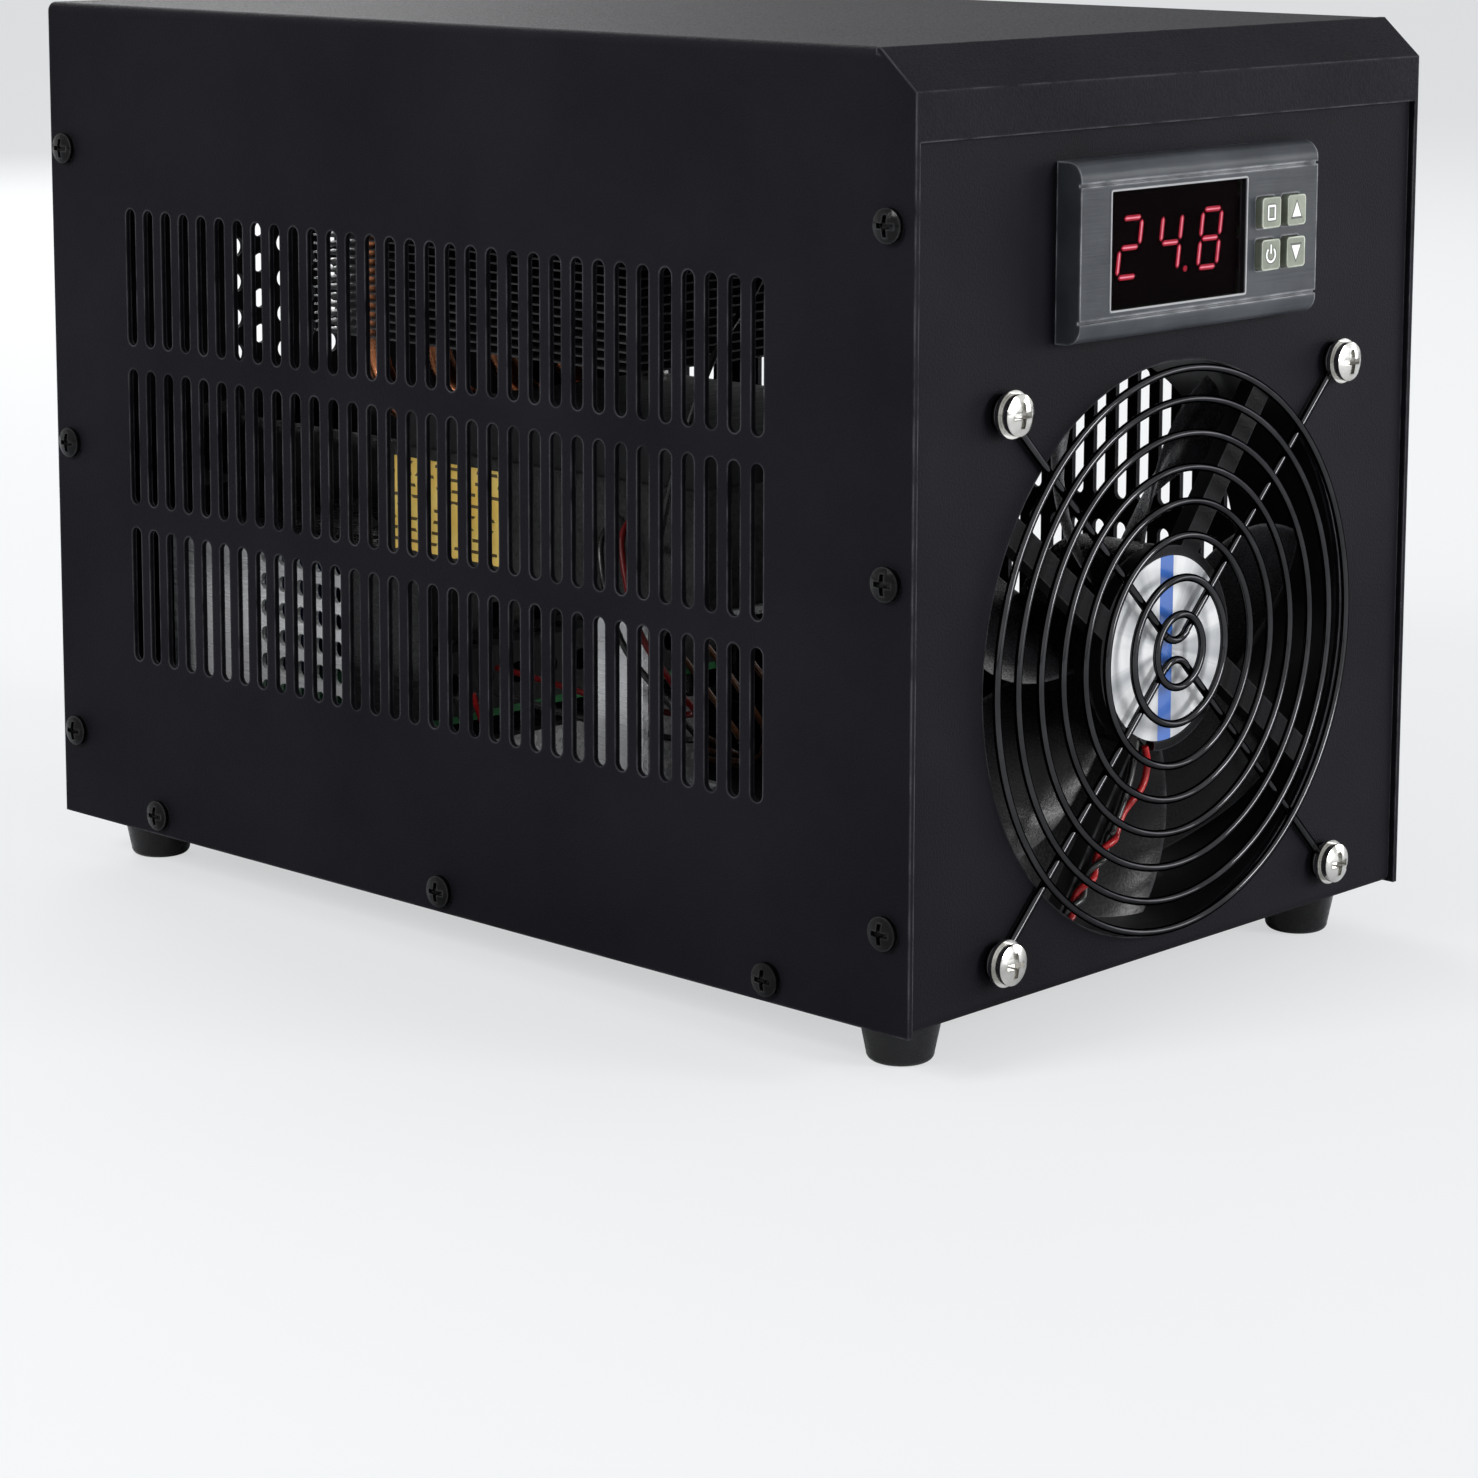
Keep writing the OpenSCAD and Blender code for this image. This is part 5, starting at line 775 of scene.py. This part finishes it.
a = np.linspace(0, FULL_TURN, 6, endpoint=False)
dot_centre = np.array([DIGIT_PITCH / 2 - DOT_INSET, DOT_INSET - DIGIT_H / 2])
dot = dot_centre + DOT_R * np.stack([np.cos(a), np.sin(a)], -1)
LAYERS = (  # name, width and gap, front, darker and lighter glow, strength
    ("digits_rim", 1.05, 0.45, DIGIT_Y, ((0.4, 0.001, 0.02), (0.55, 0.004, 0.035)), 1.3),
    ("digits_core", 0.3, 0.8, DIGIT_Y - CORE_STEP, ((1.0, 0.3, 0.4), (1.0, 0.45, 0.55)), 1.4))
for name, width, gap, front, colours, strength in LAYERS:
    outlines = bar_outlines(bars, width, gap)
    if name == "digits_rim":
        outlines = np.concatenate([outlines, dot[None]])
    lit_bars = surface(name, place(plates(leaning(outlines), front, DIGIT_Y + DIGIT_T)))
    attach(lit_bars, "chiller")
    glow, tree, shader = new_material(name + "_light", Emission_Strength=strength, Roughness=0.4)
    cloud = use(tree, clouds, Scale=500.0)
    colour = blend_colour(tree, cloud.outputs["Mask"], *colours)
    tree.links.new(colour, shader.inputs["Emission Color"])
    tree.links.new(colour, shader.inputs["Base Color"])
    paint(glow, name)
    if name == "digits_rim":
        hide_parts("display_digits")

# %% [markdown]
# ## The fan's rotor
# Seven blades, each a thin wing that leans and twists from root to tip. In the solid it is a
# coarse net. Here the same formula runs on a fine grid: one parameter goes from root to tip, the
# other right round the wing's section, and the last rows close the tip. The wheel stands at the
# angle at which the photograph caught it.

# %% Rotor blades
BLADES = 7
ROOT_R, TIP_R = 19.2, 55.7
SWEEP, WRAP, TIP_WRAP_LOSS = 16.0, 40.0, 0.08
BLADE_T, EDGE_SHARE, TIP_T_LOSS = 1.8, 0.3, 1 / 3
BLADE_Y, BLADE_DEPTH, CAMBER = 9.4, 16.8, 2.2
WHEEL_TURN = math.radians(14)
span_share = np.concatenate([np.linspace(0, 1, 21), [1.0, 1.0]])
fullness = np.concatenate([np.ones(20), [0.94, 0.6, 0.0]])
round_angle = np.linspace(0, FULL_TURN, 56, endpoint=False)
u, w = np.meshgrid(span_share, round_angle, indexing="ij")
v = (1 - np.cos(w)) / 2
side = np.sin(w)
radius = ROOT_R + (TIP_R - ROOT_R) * u
sweep = -np.radians(SWEEP * u**2 + (v - 0.5) * WRAP * (1 - TIP_WRAP_LOSS * u))
thick = BLADE_T * (EDGE_SHARE + (1 - EDGE_SHARE) * np.sin(np.pi * v)) * (1 - TIP_T_LOSS * u)
thick *= fullness[:, None]
lift = BLADE_DEPTH * v + CAMBER * np.sin(np.pi * v) * (v - 0.5) * 2
y = BLADE_Y + lift + side * thick / 2
blade = np.stack([radius * np.cos(sweep), y, radius * np.sin(sweep)], -1)
turns = FULL_TURN * np.arange(BLADES) / BLADES - WHEEL_TURN
c, s, zero = np.cos(turns), np.sin(turns), 0 * turns
spin = np.array([[c, zero, s], [zero, zero + 1, zero], [-s, zero, c]]).transpose(2, 0, 1)
blades = np.einsum("kab,ijb->kija", spin, blade) + [0, 0, FAN_Z]
rotor_blades = surface("rotor_blades", place(blades), sharp=70)
print("blade faces:", len(rotor_blades.data.polygons))

# %% [markdown]
# The hub is a cup turned on a lathe: its section runs from the shaft's bore along the inside to
# the open front rim, then outside over the round shoulder to the closed rear end and the bore.

# %% Rotor hub
BORE_R, BOSS_R, CUP_INNER_R, CUP_R = 1.52, 3.6, 18.4, 20.0
RIM_Y, BOSS_Y, CUP_FLOOR_Y, CUP_END_Y, RECESS_Y = 6.2, 22.2, 24.2, 26.2, 25.2
RIM_CHAMFER, SHOULDER_R = 0.3, 1.2


def turned(section, centre, around=96):
    """Section points (radius, y) carried round the fan's axis."""
    section = np.asarray(section, float)
    a = np.linspace(0, FULL_TURN, around, endpoint=False)[None, :]
    r, y = section[:, :1], section[:, 1:]
    return np.stack([r * np.cos(a), y + 0 * a, centre + r * np.sin(a)], -1)


shoulder = np.linspace(0, np.pi / 2, 7)
hub_section = np.vstack([
    [[BORE_R, BOSS_Y], [BOSS_R, BOSS_Y], [BOSS_R, CUP_FLOOR_Y], [CUP_INNER_R, CUP_FLOOR_Y],
     [CUP_INNER_R, RIM_Y], [CUP_R - RIM_CHAMFER, RIM_Y], [CUP_R, RIM_Y + RIM_CHAMFER]],
    np.stack([CUP_R - SHOULDER_R + SHOULDER_R * np.cos(shoulder),
              CUP_END_Y - SHOULDER_R + SHOULDER_R * np.sin(shoulder)], -1),
    [[0.0, CUP_END_Y], [0.0, RECESS_Y], [BORE_R, RECESS_Y], [BORE_R, BOSS_Y]]])
rotor_hub = surface("rotor_hub", place(turned(hub_section, FAN_Z)), sharp=30)
for piece in (rotor_blades, rotor_hub):
    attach(piece, "fan_rotor")
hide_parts("fan_rotor")
paint(finish("rotor_plastic", (0.004, 0.004, 0.0045), (0.007, 0.007, 0.008), (0.25, 0.33),
             grain_scale=1800.0, depth=0.00003, cloud_scale=40.0, edge=(0.07, 0.07, 0.075),
             Specular_IOR_Level=0.18), "rotor_blades", "rotor_hub")

# %% [markdown]
# ## Leads
# Thin insulated wires run from the fan and the modules to the power supply, and one from the
# probe to the controller. Each follows the drawing's route on a smooth curve with a finely round
# section. On the fan's strut the red and the black one are twisted together, as in the
# photograph, so the red shows in short stretches.

# %% Leads
LEAD_R = 0.7


def twisted_pair(start, end, turns, reach=0.72, steps=26):
    """Two wires round a straight middle: middle plus and minus reach (cos a side + sin a forwards)."""
    t = np.linspace(0, 1, steps)[:, None]
    start, end = np.array(start), np.array(end)
    side = np.cross(end - start, [0, 1, 0])
    side = side / np.linalg.norm(side)
    a = FULL_TURN * turns * t
    around = reach * (np.cos(a) * side + np.sin(a) * np.array([0, -1.0, 0]))
    middle = start + (end - start) * t
    return (middle + around).tolist(), (middle - around).tolist()


red_twist, black_twist = twisted_pair([-14.6, 2.75, 27.6], [-31.2, 2.85, 10.8], 2.5)
LEADS = {  # material, and points of the route
    "fan_lead_red": ("lead_red", [
        [-4.6, 3.5, 42.8], [-3.9, 3.4, 39], [-5.6, 3.4, 34.6], [-11.2, 3.4, 30.6], *red_twist,
        [-33.2, 9, 7.8], [-33.2, 26, 7.8], [-35, 40, 6], [-38, 58, 5], [-41, 74, 6],
        [-43, 100, 7.5], [-46, 124, 14], [-50, 142, 28], [-52, 147, 39]]),
    "fan_lead_black": ("lead_black", [
        [-7.4, 3.5, 44.5], [-9.5, 3.4, 36.5], *black_twist, [-34.6, 9, 8.7], [-34.8, 26, 8.8],
        [-36.6, 40, 7.6], [-40, 58, 7], [-43.2, 74, 8], [-45.5, 100, 10], [-49, 124, 17],
        [-55, 143, 30], [-57, 147, 39]]),
    "peltier_lead_red": ("module_lead_red", [
        [-61, 90, 85], [-66, 88, 80], [-67, 82, 64], [-60, 79, 52], [-50, 84, 44],
        [-46, 110, 42], [-43, 140, 42.6], [-42, 150, 42.6]]),
    "peltier_lead_black": ("lead_black", [
        [-61, 94, 85], [-68, 92, 79], [-70, 84, 62], [-63, 76, 48], [-54, 80, 40],
        [-50, 110, 38], [-47.5, 140, 38.6], [-47, 150, 38.6]]),
    "temperature_probe": ("lead_black", [
        [-61, 82, 80], [-65, 78, 84], [-64, 74, 100], [-52, 76, 118], [-36, 81, 128],
        [-28, 84, 134]]),
}
for name, (material, route) in LEADS.items():
    wire = surface(name + "_round", place(tube(smooth_route(route), LEAD_R)))
    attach(wire, "chiller")
    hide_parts(name)
    paint(bpy.data.materials[material], wire.name)

# %% [markdown]
# ## The rim of the window
# The bezel's opening has a small moulded lip, coloured light grey, much lighter than the bezel,
# which shows as one thin line. It is a round bar carried round a rectangle with rounded corners.

# %% Window rim
BEZEL_FACE_Y = -4.7
RIM_R, RIM_CORNER_R, RIM_CLEARANCE = 0.22, 0.5, 0.3


def rounded_loop(width, height, radius, steps=6):
    """Corner arcs in turn: corner centre + radius (cos a, sin a), each over a quarter turn."""
    a = np.linspace(0, np.pi / 2, steps)
    quarter = np.arange(4)[:, None] * np.pi / 2 + a[None]
    corners = np.array([[1, 1], [-1, 1], [-1, -1], [1, -1]])
    centre = corners * (np.array([width, height]) / 2 - radius)
    arc = np.stack([np.cos(quarter), np.sin(quarter)], -1)
    return (centre[:, None] + radius * arc).reshape(-1, 2)


def carried_bar(loop, bar_radius, around=8):
    """A circle carried round a closed flat loop: outwards by cos a, forwards by sin a."""
    along = np.roll(loop, -1, 0) - np.roll(loop, 1, 0)
    along /= np.linalg.norm(along, axis=1, keepdims=True)
    out = np.stack([along[:, 1], -along[:, 0]], -1)
    a = np.linspace(0, FULL_TURN, around, endpoint=False)[None, :, None]
    flat = loop[:, None] + bar_radius * np.cos(a) * out[:, None]
    depth = bar_radius * np.sin(a) + 0 * flat[..., :1]
    points = np.concatenate([flat[..., :1], depth, flat[..., 1:]], -1)
    return np.concatenate([points, points[:1]])


rim_loop = rounded_loop(WINDOW_W + RIM_CLEARANCE, WINDOW_H + RIM_CLEARANCE, RIM_CORNER_R)
rim = carried_bar(rim_loop, RIM_R) + [WINDOW_X, BEZEL_FACE_Y, CONTROLLER_Z]
window_rim = surface("window_rim", place(rim))
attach(window_rim, "chiller")
paint(finish("rim_plastic", (0.26, 0.265, 0.275), (0.36, 0.365, 0.375), (0.3, 0.45), grain_scale=1600.0,
             depth=0.00003, cloud_scale=60.0), "window_rim")

# %% [markdown]
# ## Marks on the buttons
# Printed signs on the four keys: two filled triangles, a ring with a bar, and a small frame, in
# white with a dark edge. Each is a thin print, made as a flat outline filled towards its middle
# or as a stroke, and a wider dark one lies under it.

# %% Mark helpers
PRINT_T = 0.02
KEY_FACE_Y = -6.3


def stroked(path, width, centre, print_t=PRINT_T, closed=False):
    """A flat bar with a square section carried along a path in the key's plane."""
    path = np.asarray(path, float)
    if closed:
        along = np.roll(path, -1, 0) - np.roll(path, 1, 0)
    else:
        along = np.gradient(path, axis=0)
    along /= np.linalg.norm(along, axis=1, keepdims=True)
    out = np.stack([along[:, 1], -along[:, 0]], -1) * width / 2
    corners = np.array([[1, -print_t], [-1, -print_t], [-1, print_t], [1, print_t]])
    flat = path[:, None] + corners[None, :, :1] * out[:, None]
    y = KEY_FACE_Y + corners[None, :, 1] + 0 * flat[..., 0]
    points = np.stack([centre[0] + flat[..., 0], y, centre[1] + flat[..., 1]], -1)
    if closed:
        return np.concatenate([points, points[:1]])
    ends = points.mean(1, keepdims=True) + 0 * points
    return np.concatenate([ends[:1], points, ends[-1:]])


print("key faces at y", KEY_FACE_Y, "mm")

# %% [markdown]
# On the real keys the signs are pad-printed after moulding, so they ride on the keys and press in
# with them. The white print lies on a wider dark one, which keeps it clear of the grey rubber.

# %% Button marks
KEYS = {"set": (20.15, 147.35), "up": (28.45, 147.35),
        "power": (20.15, 139.05), "down": (28.45, 139.05)}
WHITE_STROKE, DARK_STROKE, DARK_GROWTH, BAR_SHARE = 0.45, 0.95, 1.35, 0.8
RING_R = 1.4


def walked(corners, steps):
    """Points along the sides of a closed shape: each side cut in equal steps."""
    corners = np.array(corners)
    return np.concatenate([np.linspace(a, b, steps, endpoint=False)
                           for a, b in zip(corners, np.roll(corners, -1, 0))])


triangle = walked([[-1.45, -1.3], [1.45, -1.3], [0, 1.6]], 4)
key_frame = walked([[-1.1, -1.3], [1.1, -1.3], [1.1, 1.3], [-1.1, 1.3]], 6)
arc = np.radians(np.linspace(-230, 50, 25))
power_ring = RING_R * np.stack([np.cos(arc), np.sin(arc)], -1)
power_bar = np.linspace([0, 0.2], [0, 2.0], 3)
paint_white = finish("key_print_white", (0.72, 0.74, 0.7), (0.84, 0.86, 0.82), (0.4, 0.55),
                     grain_scale=900.0, depth=0.00001)
paint_dark = finish("key_print_dark", (0.03, 0.034, 0.028), (0.05, 0.055, 0.048), (0.4, 0.55),
                    grain_scale=900.0, depth=0.00001)
for tone, wide, big, print_t in ((paint_white, WHITE_STROKE, 1.0, PRINT_T),
                                 (paint_dark, DARK_STROKE, DARK_GROWTH, PRINT_T / 2)):
    front, back = KEY_FACE_Y - print_t, KEY_FACE_Y + print_t
    shade = tone.name.split("_")[-1]
    marks = {
        "set_frame": ("set", stroked(key_frame, wide, KEYS["set"], print_t, closed=True)),
        "up_triangle": ("up", plates(triangle * big + KEYS["up"], front, back)),
        "power_ring": ("power", stroked(power_ring, wide, KEYS["power"], print_t)),
        "power_bar": ("power", stroked(power_bar, wide, KEYS["power"], print_t * BAR_SHARE)),
        "down_triangle": ("down", plates(KEYS["down"] - triangle * big, front, back)),
    }
    for name, (key, points) in marks.items():
        mark = surface(name + "_" + shade, place(points))
        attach(mark, key + "_button")
        paint(tone, mark.name)

# %% [markdown]
# Last, every node must have a finish, except two that new pieces stand for. The nodes still
# without one are printed.

# %% Finish
STOOD_FOR = {"fan_rotor", "display_digits"}
bare = sorted(set(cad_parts) - set(painted) - STOOD_FOR)
print("nodes without a finish:", bare)
